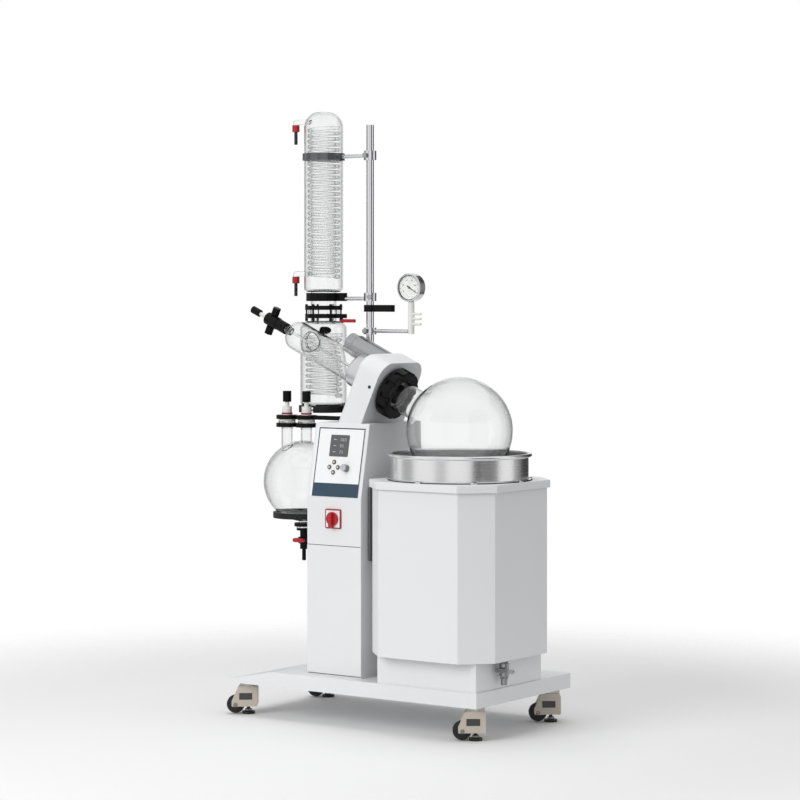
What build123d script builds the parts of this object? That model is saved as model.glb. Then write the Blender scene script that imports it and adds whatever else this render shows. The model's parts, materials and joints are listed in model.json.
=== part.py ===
"""Floor-standing 20 L rotary evaporator with a lifting bath, twin condensers and a receiving flask."""
import os
from math import atan2, cos, pi, radians, sin, sqrt, tan

from build123d import *

os.makedirs("parts", exist_ok=True)

# Running and seating clearances
run_gap = 0.05
seat_gap = 0.3
sheet = 2.0

# Base tray and plinth, with offsets measured from the bath axis
caster_height = 112.0
base_height = 50.0
base_length = 1031.0
base_depth = 579.0
base_sheet = 3.0
base_taper_run = 192.0
base_tip_height = 12.0
base_reach = 201.0
plinth_size = 394.0
plinth_top = 352.0
caster_plate = 6.0

# Bath
bath_half = 245.0
bath_chamfer = 88.0
bath_bottom = 258.0
lid_half = 255.0
lid_bottom = 809.0
lid_top = 834.0
pan_radius = 230.0
pan_wall = 2.5
pan_rim_radius = 241.5
pan_rim_height = 12.0
pan_rim_top = 923.0
pan_depth = 250.0
pan_foot_radius = 240.0
heater_inner = 90.0
heater_outer = 160.0
heater_height = 10.0
lift_up = 75.0
lift_down = 85.0
lid_sheet = 3.0
lid_round = 2.0
pan_clear = 1.5
pan_corner = 28.0
pan_foot = 4.0

# Column and console, offsets from the bath axis
column_right = -296.0
column_width = 227.0
column_front_y = -152.5
column_depth = 340.0
column_seam = 602.0
column_foot_gap = 6.0
console_kink = 764.0
console_top = 1014.0
console_lean = 11.3

# Tilted axis of flask, head and vapour tube
tilt = 24.5
flask_z = 997.0
flask_radius = 178.0
flask_wall = 4.0
neck_radius = 52.5
neck_blend = 32.0
neck_flange_radius = 60.0
neck_flange = 10.0
neck_end = 276.0
nut_start = 260.0
nut_end = 304.0
nut_radius = 87.0
nut_bore = 54.5
nut_chamfer = 3.0
nut_notches = 12
notch_depth = 6.0
notch_width = 16.0
notch_length = 30.0
head_start = 312.0
head_end = 419.0
head_top = 100.0
head_front = -98.0
head_back = 150.0
head_round = 57.0
head_back_round = 42.0
shaft_radius = 45.0
shaft_bore = 36.0
head_bore = 50.0
shaft_end = 409.0
bearing_radius = 58.0
bearing_width = 14.0
bearing_inset = 10.0
gear_side_room = 6.0
gear_room = 2.0
cover_radius = 84.0
cover_hub = 66.0
cover_thickness = 8.0
gear_cavity = 76.0
gear_module = 2.0
gear_teeth = 72
pinion_teeth = 26
gear_start = 342.0
gear_width = 20.0
motor_angle = 59.3
motor_radius = 38.0
motor_start = 400.0
motor_end = 590.0
motor_shaft_radius = 8.0
motor_shaft_depth = 30.0
motor_cap_length = 32.0
motor_cap = 34.0
duct_radius = 58.0
duct_end = 470.0
duct_bore = 40.0
duct_clear = 3.0
duct_lip = 6.0
vapour_radius = 51.0
vapour_wall = 4.0
vapour_start = 455.0
vapour_shoulder = 745.0
vapour_neck = 15.0
vapour_end = 800.0
port_along = 717.0
port_drop = -10.0
port_radius = 38.0
port_wall = 4.0
port_joint_y = 57.0
feed_tube_radius = 5.0
feed_tube_start = 505.0
feed_tube_wall = 1.5
feed_tube_room = 2.0
feed_key_along = 870.0
feed_body_radius = 22.0
feed_tip_end = 968.0
feed_tip_radius = 13.0
feed_tip_length = 38.0
feed_barrel_half = 26.0
feed_neck = 7.0
feed_collar = 5.0
key_radius = 6.0
key_grip = 27.0
key_root = 1.0
key_flutes = 6
key_flute_radius = 3.5
key_radius_grip = 14.0

# Condensers, rod and gauge, offsets from the bath axis
condenser_x = -677.0
condenser_y = 145.0
glass_wall = 4.0
lower_radius = 82.0
lower_bottom = 1060.0
lower_top = 1357.0
lower_round = 30.0
coupling_neck = 46.0
coupling_flange = 56.0
coupling_flange_height = 7.0
coupling_joint = 1389.0
drain_tube = 9.0
drain_rise = 39.0
drain_bend = 12.0
support_height = 24.0
support_lip = 6.0
support_ledge = 22.0
wall_plate = 6.0
clamp_radius = 66.0
clamp_height = 15.0
lug_width = 28.0
lug_length = 26.0
lug_root = 10.0
lever_pin = 4.0
lever_thickness = 12.0
lever_drop = 3.0
lever_round = 2.5
lever_offset = 14.0
lever_tip = 66.0
vacuum_lever_width = 15.0
hose_bar_z = 1402.0
hose_bar_end = -380.0
hose_bar_width = 22.0
side_cap_z = 1325.0
side_cap_front = 64.0
side_cap_shift = 55.0
side_cap_radius = 13.0
upper_radius = 69.0
upper_bottom = 1459.0
upper_top = 2094.0
upper_dome_round = 55.0
upper_foot_round = 15.0
ring_clamp_bottom = 1427.0
ring_clamp_height = 29.0
ring_clamp_wall = 16.0
ring_lug = 92.0
ring_lug_width = 20.0
upper_coil_radius = 51.0
lower_coil_radius = 57.0
coil_tube = 7.0
coil_lead = 6.3
coil_pitch = 19.4
upper_coil_clear = 58.0
lower_coil_turns = 11
upper_coil_bottom = 1512.0
lower_coil_bottom = 1094.0
rod_x = -478.0
rod_y = 150.0
rod_radius = 13.5
rod_round = 3.0
rod_drop = 52.0
band_drop = 172.0
band_height = 25.0
arm_radius = 7.0
boss_radius = 26.0
small_boss = 22.0
socket_height = 20.0
socket_radius = 30.0
gauge_boss_half = 12.0
gauge_arm_rise = 9.0
ring_arm_rise = 9.0
boss_wall = 4.0
band_wall = 6.0
gauge_x = -303.0
gauge_z = 1474.0
gauge_radius = 49.0
gauge_depth = 34.0
gauge_round = 3.0
gauge_stem = 8.0
bezel_width = 5.0
dial_recess = 6.0
pivot_radius = 2.0
needle_turn = 31.0
needle_reach = 36.0
needle_tail = 11.0
needle_width = 2.2
needle_tip = 0.6
needle_lift = 2.0
post_bottom = 1314.0
post_top = 1424.0
post_radius = 11.0
barb_levels = (1348.0, 1366.0, 1383.0)
barb_radius = 4.0
barb_length = 27.0
barb_collar = 6.0
barb_root = 3.0
hose_arm_x = -801.0
hose_arm_radius = 9.0
lower_arm_rise = 65.0
upper_arm_drop = 32.0
hose_cap_radius = 13.0
hose_cap_height = 24.0
hose_cap_cover = 8.0
hose_tail_radius = 6.0
hose_tail_length = 45.0
arm_drop = 18.0

# Receiver, offsets from the bath axis
receiver_x = -680.0
receiver_y = 35.0
receiver_z = 799.0
receiver_radius = 141.0
receiver_necks = ((-755.0, 35.0), (-677.0, 45.0))
receiver_neck_radius = 20.0
receiver_joint = 1007.0
receiver_flange = 30.0
receiver_flange_height = 7.0
receiver_clamp = 38.0
receiver_clamp_height = 14.0
valve_body_radius = 17.0
valve_stem_radius = 8.0
stem_clear = 2.0
valve_body_top = 1058.0
cap_bottom = 1074.0
cap_top = 1112.0
cap_radius = 15.0
cap_crown = 12.0
cap_flutes = 10
cap_flute_radius = 1.6
cap_flute_offset = 0.6
neck_bar_root = 5.0
neck_bar_end = -470.0
neck_bar_width = 20.0
receiver_ring_bottom = 672.0
receiver_ring_height = 20.0
receiver_ring_radius = 108.0
drain_neck_radius = 18.0
drain_neck_end = 634.0
drain_cock_bottom = 562.0
drain_tail_end = 522.0
drain_tail_radius = 7.0
drain_flange = 26.0
drain_flange_height = 7.0
drain_collar = 34.0
drain_collar_height = 12.0
cock_barrel = 12.0
cock_half = 24.0
cock_drop = 4.0
cock_root = 1.0
cock_key = 6.0
cock_neck = 14.0
cock_grip = 46.0
cock_grip_width = 14.0
cock_grip_depth = 12.0

# Controls
panel_width = 203.0
panel_round = 6.0
panel_bottom = 3.0
panel_top = 238.6
panel_thickness = 2.0
display_width = 79.0
display_height = 74.0
display_v = 176.8
display_round = 4.0
button_centre = (-14.0, 103.0)
button_spread = 17.5
button_radius = 8.0
button_stem = 5.0
button_rise = 3.2
button_names = ("button_up", "button_left", "button_right", "button_down")
knob_place = (39.0, 101.0)
knob_radius = 13.0
knob_height = 20.0
knob_shaft = 4.0
knob_stem = 14.0
switch_x = -410.0
switch_rise = 91.0
switch_size = 66.0
switch_thickness = 5.0
switch_knob_radius = 23.0
switch_shaft = 6.0
switch_disc = 7.0
switch_grip = 12.0
switch_grip_width = 13.0
switch_grip_drop = 3.0

# Bath lift
carriage_x = -430.0
carriage_gap = 3.0
slot_clear = 10.0
spacer_width = 100.0
spacer_height = 180.0
bracket_bottom = 553.0
bracket_height = 250.0
bracket_width = 230.0
bracket_round = 10.0
carriage_width = 120.0
bracket_thickness = 8.0
arm_bottom = 662.0
arm_height = 60.0
arm_width = 60.0
guide_spread = 45.0
guide_radius = 10.0
screw_radius = 11.0
carriage_half = 30.0
carriage_extra = 20.0
lift_motor_height = 120.0
lift_motor_size = 90.0
guide_plate = 10.0
guide_extra = 40.0

# Drain valve of the bath
drain_x = 222.0
drain_y = -69.0
drain_pipe = 11.0
drain_valve_z = 227.0
drain_outlet = 177.0
lever_length = 58.0
pipe_turn = 18.0
lever_tail = 16.0
drain_lever_sheet = 4.0
drain_lever_width = 13.0
drain_offset = 45.0
drain_drop = 40.0
drain_pipe_wall = 3.0
drain_stem = 32.0
drain_stem_radius = 5.0
ball_body = 16.0
ball_half = 20.0
ball_nut = 15.0
ball_nut_height = 10.0
ball_boss = 9.0

# Casters
caster_inset_x = 43.0
caster_inset_y = 60.0
caster_yaw = 35.5
kingpin_radius = 8.0
wheel_radius = 31.0
wheel_width = 20.0
wheel_trail = 44.0
wheel_clear = 2.5
wheel_axle = 4.0
pad_radius = 22.0
pad_height = 9.0
caster_names = ("front_left", "rear_left", "front_right", "rear_right")
housing_width = 62.0
housing_bottom = 28.0
housing_top = 98.0
housing_lead = 33.0
housing_rounds = (0, 6.0, 12.0, 14.0, 8.0, 6.0)
pad_stem = 6.0
well_side = 1.0
pad_bore_depth = 12.0
swivel_radius = 30.0
swivel_root = 8.0
axle_boss = 13.0
wheel_round = 3.0
label_depth = 1.0
label_width = 46.0
label_height = 24.0
label_shift = 8.0
label_z = 63.0

# Worked-out places in the row frame
slope = radians(tilt)
axis_dir = (-cos(slope), 0.0, sin(slope))
perp_dir = (sin(slope), 0.0, cos(slope))
reach_left = feed_tip_end * cos(slope) + feed_tip_radius * sin(slope)
bath_x = (reach_left - drain_x - lever_length) / 2
base_back_offset = base_depth - base_reach
bath_y = (lid_half - base_back_offset) / 2
base_bottom = caster_height
base_top = caster_height + base_height
base_right = bath_x + base_reach
base_left = base_right - base_length
base_front = bath_y - base_reach
base_back = base_front + base_depth
pan_bottom = pan_rim_top - pan_depth
column_x = bath_x + column_right - column_width / 2
switch_z = column_seam + switch_rise
column_front_face = bath_y + column_front_y
column_back_face = column_front_face + column_depth
hose_arm_levels = (upper_bottom + lower_arm_rise, upper_top - upper_arm_drop)
band_bottom = upper_top - band_drop
rod_top = upper_top - rod_drop
upper_coil_turns = int((upper_top - upper_coil_clear - upper_coil_bottom) / coil_pitch)
cond_x = bath_x + condenser_x
cond_y = bath_y + condenser_y
pole_x = bath_x + rod_x
pole_y = bath_y + rod_y
caster_spots = [
    (x, y)
    for x in (base_left + caster_inset_x, base_right - caster_inset_x)
    for y in (base_front + caster_inset_y, base_back - caster_inset_y)
]
flask_centre = (bath_x, bath_y, flask_z)
flask_axis = Axis(flask_centre, axis_dir)
axis_plane = Plane(origin=flask_centre, x_dir=perp_dir, z_dir=(0, -1, 0))


def on_axis(along, above=0.0, side=0.0):
    """Point at a distance along the tilted axis, above it and towards the back."""
    return (
        flask_centre[0] + along * axis_dir[0] + above * perp_dir[0],
        flask_centre[1] + side,
        flask_centre[2] + along * axis_dir[2] + above * perp_dir[2],
    )


def across(along):
    """Plane square to the tilted axis: local x is upwards, local y is towards the back."""
    return Plane(origin=on_axis(along), x_dir=perp_dir, z_dir=axis_dir)


def upright(x, y):
    """Plane through a vertical axis: local x is the radius, local y is the height."""
    return Plane(origin=(x, y, 0), x_dir=(1, 0, 0), z_dir=(0, -1, 0))


def vertical(x, y):
    """Vertical turning axis."""
    return Axis((x, y, 0), (0, 0, 1))


def facing_back(x, y, z):
    """Plane at a point that looks along +Y, with local x along X."""
    return Plane(origin=(x, y, z), x_dir=(1, 0, 0), z_dir=(0, 1, 0))


def outline(plane, *points, rounds=None):
    """Closed face through the points, with one corner radius for each point where given."""
    with BuildSketch(plane) as shape:
        with BuildLine():
            if rounds:
                FilletPolyline(*points, radius=rounds, close=True)
            else:
                Polyline(*points, close=True)
        make_face()
    return shape.sketch


def ring_points(inner, outer, low, high):
    """Rectangle profile of a plain ring."""
    return (inner, low), (outer, low), (outer, high), (inner, high)


def octagon(half, chamfer):
    """Square outline with its four corners cut at 45 degrees."""
    cut = half - chamfer
    return (
        (-half, -cut), (-cut, -half), (cut, -half), (half, -cut),
        (half, cut), (cut, half), (-cut, half), (-half, cut),
    )


def finish(part, name):
    """Label one piece and write its file."""
    part.label = name
    export_step(part, f"parts/{name}.step")


# Base tray: folded sheet, tapered at the left end, with a plate and kingpin hole for each caster
def base_profile(inset):
    """Side view of the tray, inset by the sheet."""
    tip = base_bottom + base_tip_height
    return (
        (base_left + inset, base_bottom),
        (base_right - inset, base_bottom),
        (base_right - inset, base_top - inset),
        (base_left + base_taper_run, base_top - inset),
        (base_left + inset, tip - inset),
    )


with BuildPart() as base_frame:
    extrude(outline(upright(0, base_front), *base_profile(0)), amount=-base_depth)
    fillet(base_frame.edges().filter_by(Axis.Z), base_sheet)
    extrude(
        outline(upright(0, base_front + base_sheet), *base_profile(base_sheet)),
        amount=2 * base_sheet - base_depth,
        mode=Mode.SUBTRACT,
    )
    with BuildSketch(Plane.XY.offset(base_bottom)):
        with Locations(*caster_spots):
            RectangleRounded(2 * caster_inset_x, 2 * caster_inset_y, base_sheet)
    extrude(amount=caster_plate)
    with Locations(*[(x, y, base_bottom) for x, y in caster_spots]):
        Cylinder(kingpin_radius, 4 * caster_plate, mode=Mode.SUBTRACT)
finish(base_frame.part, "base_frame")

# Plinth: folded cover that the bath housing slides over
with BuildPart() as plinth_cover:
    with BuildSketch(Plane.XY.offset(base_top)):
        with Locations((bath_x, bath_y)):
            RectangleRounded(plinth_size, plinth_size, base_sheet)
    extrude(amount=plinth_top - base_top)
    with BuildSketch(Plane.XY.offset(base_top)):
        with Locations((bath_x, bath_y)):
            Rectangle(plinth_size - 2 * sheet, plinth_size - 2 * sheet)
    extrude(amount=plinth_top - base_top - sheet, mode=Mode.SUBTRACT)
finish(plinth_cover.part, "plinth_cover")

# Column: three folded walls and a floor, with a slot for the lift arm, closed by a front panel
slot_half = arm_width / 2 + slot_clear
slot_bottom = arm_bottom - lift_down - slot_clear
slot_top = arm_bottom + arm_height + lift_up + slot_clear
slot_middle = (bath_x + column_right, bath_y, (slot_bottom + slot_top) / 2)
panel_back_face = column_front_face + sheet
with BuildPart() as column_cabinet:
    with BuildSketch(Plane.XY.offset(base_top)):
        with Locations((column_x, (panel_back_face + column_back_face) / 2)):
            Rectangle(column_width, column_back_face - panel_back_face)
    extrude(amount=column_seam - base_top)
    back_corners = column_cabinet.edges().filter_by(Axis.Z).group_by(Axis.Y)[-1]
    fillet(back_corners, base_sheet)
    with BuildSketch(Plane.XY.offset(base_top + base_sheet)):
        with Locations((column_x, (panel_back_face + column_back_face) / 2 - sheet)):
            Rectangle(column_width - 2 * sheet, column_back_face - panel_back_face)
    extrude(amount=column_seam - base_top, mode=Mode.SUBTRACT)
    with Locations(slot_middle):
        Box(6 * sheet, 2 * slot_half, slot_top - slot_bottom, mode=Mode.SUBTRACT)
finish(column_cabinet.part, "column_cabinet")

with BuildPart() as column_front:
    with BuildSketch(upright(column_x, panel_back_face)):
        with Locations((0, (base_top + column_foot_gap + column_seam) / 2)):
            Rectangle(column_width, column_seam - base_top - column_foot_gap)
    extrude(amount=sheet)
    fillet(column_front.edges().filter_by(Axis.Z).group_by(Axis.Y)[0], sheet * 0.8)
finish(column_front.part, "column_front")

# Console: folded housing whose front leans back above the kink
lean = radians(console_lean)


def console_profile(inset):
    """Side view of the console in the YZ plane, inset by the sheet and open below."""
    front = column_front_face + inset
    kink = console_kink - inset * tan(lean / 2)
    top = console_top - inset
    return (
        (front, column_seam),
        (front, kink),
        (front + (top - kink) * tan(lean), top),
        (column_back_face - inset, top),
        (column_back_face - inset, column_seam),
    )


panel_plane = Plane(
    origin=(column_x, column_front_face, console_kink),
    x_dir=(1, 0, 0),
    z_dir=(0, -cos(lean), sin(lean)),
)
panel_axis = Axis(panel_plane.origin, panel_plane.z_dir)
button_spots = (
    (button_centre[0], button_centre[1] + button_spread),
    (button_centre[0] - button_spread, button_centre[1]),
    (button_centre[0] + button_spread, button_centre[1]),
    (button_centre[0], button_centre[1] - button_spread),
)
with BuildPart() as console_housing:
    side_plane = Plane(origin=(column_x - column_width / 2, 0, 0), x_dir=(0, 1, 0), z_dir=(1, 0, 0))
    extrude(outline(side_plane, *console_profile(0)), amount=column_width)
    fillet(console_housing.edges().filter_by(Axis.X).group_by(Axis.Z)[-1], base_sheet)
    fillet(console_housing.edges().filter_by(Axis.Z), base_sheet)
    extrude(
        outline(side_plane.offset(sheet), *console_profile(sheet)),
        amount=column_width - 2 * sheet,
        mode=Mode.SUBTRACT,
    )
    with Locations(slot_middle):
        Box(6 * sheet, 2 * slot_half, slot_top - slot_bottom, mode=Mode.SUBTRACT)
    with BuildSketch(panel_plane):
        with Locations(*button_spots):
            Circle(button_radius + seat_gap)
        with Locations(knob_place):
            Circle(knob_shaft + seat_gap)
    extrude(amount=2 * sheet, both=True, mode=Mode.SUBTRACT)
    with BuildSketch(upright(bath_x + switch_x, column_front_face)):
        with Locations((0, switch_z)):
            Circle(switch_shaft + seat_gap)
    extrude(amount=2 * sheet, both=True, mode=Mode.SUBTRACT)
finish(console_housing.part, "console_housing")

# Control panel overlay, display window, buttons and speed knob
with BuildPart() as control_panel:
    with BuildSketch(panel_plane):
        with Locations((0, (panel_bottom + panel_top) / 2)):
            RectangleRounded(panel_width, panel_top - panel_bottom, panel_round)
        with Locations((0, display_v)):
            RectangleRounded(display_width + seat_gap, display_height + seat_gap, display_round,
                             mode=Mode.SUBTRACT)
        with Locations(*button_spots):
            Circle(button_radius + run_gap, mode=Mode.SUBTRACT)
        with Locations(knob_place):
            Circle(knob_shaft + run_gap, mode=Mode.SUBTRACT)
    extrude(amount=panel_thickness)
finish(control_panel.part, "control_panel")

with BuildPart() as display_window:
    with BuildSketch(panel_plane):
        with Locations((0, display_v)):
            RectangleRounded(display_width, display_height, display_round)
    extrude(amount=panel_thickness + seat_gap)
finish(display_window.part, "display_window")

for spot, name in zip(button_spots, button_names):
    with BuildPart() as button:
        with BuildSketch(panel_plane.offset(panel_thickness - button_stem)):
            with Locations(spot):
                Circle(button_radius)
        extrude(amount=button_stem + button_rise)
        fillet(button.faces().sort_by(panel_axis)[-1].edges(), button_rise * 0.9)
    finish(button.part, name)

with BuildPart() as speed_knob:
    with BuildSketch(panel_plane.offset(panel_thickness + seat_gap)):
        with Locations(knob_place):
            Circle(knob_radius)
    extrude(amount=knob_height, taper=4)
    fillet(speed_knob.faces().sort_by(panel_axis)[-1].edges(), 2.0)
    with BuildSketch(panel_plane.offset(panel_thickness + seat_gap)):
        with Locations(knob_place):
            Circle(knob_shaft)
    extrude(amount=-knob_stem)
finish(speed_knob.part, "speed_knob")

# Rotary isolator on the vertical front
switch_face = upright(bath_x + switch_x, column_front_face)
with BuildPart() as switch_plate:
    with BuildSketch(switch_face):
        with Locations((0, switch_z)):
            RectangleRounded(switch_size, switch_size, switch_thickness)
            Circle(switch_shaft + run_gap, mode=Mode.SUBTRACT)
    extrude(amount=switch_thickness)
    fillet(switch_plate.faces().sort_by(Axis.Y)[0].outer_wire().edges(), 1.5)
finish(switch_plate.part, "switch_plate")

with BuildPart() as power_knob:
    with BuildSketch(switch_face.offset(switch_thickness + seat_gap)):
        with Locations((0, switch_z)):
            Circle(switch_knob_radius)
    extrude(amount=switch_disc)
    with BuildSketch(switch_face.offset(switch_thickness + seat_gap)):
        with Locations((0, switch_z - switch_grip_drop)):
            SlotOverall(2 * (switch_knob_radius + switch_grip_drop), switch_grip_width, rotation=90)
    extrude(amount=switch_disc + switch_grip)
    fillet(power_knob.faces().sort_by(Axis.Y)[0].edges(), 2.0)
    with BuildSketch(switch_face.offset(switch_thickness + seat_gap)):
        with Locations((0, switch_z)):
            Circle(switch_shaft)
    extrude(amount=-knob_stem)
finish(power_knob.part, "power_knob")

# Head: cast housing, arched across the tilted axis and cut level to sit on the console
pinion_distance = gear_module * (gear_teeth + pinion_teeth) / 2
motor_turn = radians(motor_angle)
motor_spot = (pinion_distance * cos(motor_turn), pinion_distance * sin(motor_turn))
motor_axis = Axis(on_axis(0, *motor_spot), axis_dir)
motor_plane = Plane(origin=on_axis(0, *motor_spot), x_dir=perp_dir, z_dir=(0, -1, 0))
pinion_tip = gear_module * (pinion_teeth / 2 + 1)
cover_seat = head_start + cover_thickness
rear_bearing = shaft_end - bearing_inset - bearing_width
pinion_room = gear_start - gear_side_room
with BuildPart() as head_housing:
    with BuildSketch(across(head_start)):
        with Locations(((head_top - head_end) / 2, (head_front + head_back) / 2)):
            Rectangle(head_top + head_end, head_back - head_front)
    extrude(amount=head_end - head_start)
    along_axis = head_housing.edges().filter_by(Axis((0, 0, 0), axis_dir))
    fillet(along_axis.sort_by(Axis((0, 0, 0), perp_dir))[-2:], head_round)
    end_edges = head_housing.faces().sort_by(Axis((0, 0, 0), axis_dir))[-1].edges()
    fillet(end_edges.sort_by(Axis((0, 0, 0), perp_dir))[1:], head_back_round)
    with Locations((bath_x, bath_y, console_top)):
        Box(4 * head_end, 4 * head_end, 4 * head_end, align=(Align.CENTER, Align.CENTER, Align.MAX),
            mode=Mode.SUBTRACT)
    revolve(
        outline(
            axis_plane,
            (0, head_start - cover_thickness),
            (cover_radius, head_start - cover_thickness),
            (cover_radius, cover_seat),
            (gear_cavity, cover_seat),
            (gear_cavity, rear_bearing - gear_room),
            (bearing_radius + run_gap, rear_bearing - gear_room),
            (bearing_radius + run_gap, rear_bearing + bearing_width),
            (head_bore, rear_bearing + bearing_width),
            (head_bore, head_end + head_back_round),
            (0, head_end + head_back_round),
        ),
        axis=flask_axis,
        mode=Mode.SUBTRACT,
    )
    revolve(
        outline(
            motor_plane,
            (0, pinion_room),
            (pinion_tip + gear_room, pinion_room),
            (pinion_tip + gear_room, motor_start),
            (motor_radius + seat_gap, motor_start),
            (motor_radius + seat_gap, head_end + head_back_round),
            (0, head_end + head_back_round),
        ),
        axis=motor_axis,
        mode=Mode.SUBTRACT,
    )
finish(head_housing.part, "head_housing")

# Bearing cover with the front bearing seat, two bearings, hollow shaft and gear pair
front_bearing = cover_seat
with BuildPart() as bearing_cover:
    revolve(
        outline(
            axis_plane,
            (head_bore, head_start),
            (cover_radius - seat_gap, head_start),
            (cover_radius - seat_gap, cover_seat),
            (cover_hub, cover_seat),
            (cover_hub, front_bearing + bearing_width),
            (bearing_radius + run_gap, front_bearing + bearing_width),
            (bearing_radius + run_gap, front_bearing),
            (head_bore, front_bearing),
        ),
        axis=flask_axis,
    )
finish(bearing_cover.part, "bearing_cover")

with BuildPart() as shaft_bearings:
    for start in (front_bearing, rear_bearing):
        ring = ring_points(shaft_radius + run_gap, bearing_radius, start, start + bearing_width)
        revolve(outline(axis_plane, *ring), axis=flask_axis)
finish(shaft_bearings.part, "shaft_bearings")

with BuildPart() as drive_shaft:
    revolve(
        outline(
            axis_plane,
            (shaft_bore, neck_end + seat_gap),
            (neck_flange_radius, neck_end + seat_gap),
            (neck_flange_radius, nut_end),
            (shaft_radius, nut_end),
            (shaft_radius, shaft_end),
            (shaft_bore, shaft_end),
        ),
        axis=flask_axis,
    )
finish(drive_shaft.part, "drive_shaft")


def spur_gear(teeth, phase):
    """Face of a spur gear with straight-sided teeth, the first one at the phase angle."""
    pitch_radius = gear_module * teeth / 2
    root = pitch_radius - 1.25 * gear_module
    tip = pitch_radius + 0.9 * gear_module
    with BuildSketch() as wheel:
        Circle(root + 0.2)
        with PolarLocations(0, teeth, start_angle=phase):
            Polygon(
                (root, -0.95 * gear_module), (tip, -0.36 * gear_module),
                (tip, 0.36 * gear_module), (root, 0.95 * gear_module),
                align=None,
            )
    return wheel.sketch


with BuildPart() as drive_gear:
    with BuildSketch(across(gear_start)):
        add(spur_gear(gear_teeth, motor_angle))
        Circle(shaft_radius + run_gap, mode=Mode.SUBTRACT)
    extrude(amount=gear_width)
finish(drive_gear.part, "drive_gear")

pinion_face = Plane(origin=on_axis(gear_start, *motor_spot), x_dir=perp_dir, z_dir=axis_dir)
pinion_phase = motor_angle + 180.0 + 180.0 / pinion_teeth
motor_shaft_end = motor_start + motor_shaft_depth
with BuildPart() as motor_pinion:
    with BuildSketch(pinion_face):
        add(spur_gear(pinion_teeth, pinion_phase))
    extrude(amount=gear_width)
    with BuildSketch(pinion_face):
        Circle(motor_shaft_radius)
    extrude(amount=motor_shaft_end - gear_start)
finish(motor_pinion.part, "motor_pinion")

motor_cap_start = motor_end - motor_cap_length
with BuildPart() as gear_motor:
    revolve(
        outline(
            motor_plane,
            (0, motor_shaft_end + gear_room),
            (motor_shaft_radius + run_gap, motor_shaft_end + gear_room),
            (motor_shaft_radius + run_gap, motor_start),
            (motor_radius, motor_start),
            (motor_radius, motor_cap_start),
            (motor_cap, motor_cap_start),
            (motor_cap, motor_end),
            (0, motor_end),
            rounds=(0, 0, 0, 0, 3, 2, 4, 0),
        ),
        axis=motor_axis,
    )
finish(gear_motor.part, "gear_motor")

# Evaporating flask, lock nut and duct
blend_height = sqrt((flask_radius + neck_blend) ** 2 - (neck_radius + neck_blend) ** 2)
blend_turn = atan2(blend_height, neck_radius + neck_blend)


def bulb_edge(inset):
    """Points of the flask wall: pole, side, end of the sphere, middle of the blend, foot of the neck."""
    ball = flask_radius - inset
    blend = neck_blend + inset
    middle = (blend_turn + pi + pi) / 2
    return (
        (0, -ball),
        (ball, 0),
        (ball * cos(blend_turn), ball * sin(blend_turn)),
        (neck_radius + neck_blend + blend * cos(middle), blend_height + blend * sin(middle)),
        (neck_radius - inset, blend_height),
    )


outer_wall = bulb_edge(0)
inner_wall = bulb_edge(flask_wall)
with BuildPart() as evaporating_flask:
    with BuildSketch(axis_plane):
        with BuildLine():
            ThreePointArc(*outer_wall[0:3])
            ThreePointArc(*outer_wall[2:5])
            Polyline(
                outer_wall[4],
                (neck_radius, neck_end - neck_flange),
                (neck_flange_radius, neck_end - neck_flange),
                (neck_flange_radius, neck_end),
                (neck_radius - flask_wall, neck_end),
                inner_wall[4],
            )
            ThreePointArc(*inner_wall[4:1:-1])
            ThreePointArc(*inner_wall[2::-1])
            Line(inner_wall[0], outer_wall[0])
        make_face()
    revolve(axis=flask_axis)
finish(evaporating_flask.part, "evaporating_flask")

nut_lip = neck_end - neck_flange - seat_gap
with BuildPart() as lock_nut:
    revolve(
        outline(
            axis_plane,
            (nut_bore, nut_start),
            (nut_radius - nut_chamfer, nut_start),
            (nut_radius, nut_start + nut_chamfer),
            (nut_radius, nut_end - nut_chamfer),
            (nut_radius - nut_chamfer, nut_end),
            (neck_flange_radius + seat_gap, nut_end),
            (neck_flange_radius + seat_gap, nut_lip),
            (nut_bore, nut_lip),
        ),
        axis=flask_axis,
    )
    with BuildSketch(across(nut_start)):
        with PolarLocations(nut_radius, nut_notches):
            Rectangle(2 * notch_depth, notch_width)
    extrude(amount=notch_length, mode=Mode.SUBTRACT)
finish(lock_nut.part, "lock_nut")

spigot = shaft_end + duct_clear
with BuildPart() as duct_flange:
    revolve(
        outline(
            axis_plane,
            (duct_bore, spigot),
            (head_bore - run_gap, spigot),
            (head_bore - run_gap, head_end),
            (duct_radius, head_end),
            (duct_radius, duct_end - duct_lip),
            (duct_radius - duct_lip / 2, duct_end),
            (vapour_radius + seat_gap, duct_end),
            (vapour_radius + seat_gap, vapour_start),
            (duct_bore, vapour_start),
        ),
        axis=flask_axis,
    )
finish(duct_flange.part, "duct_flange")

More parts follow.
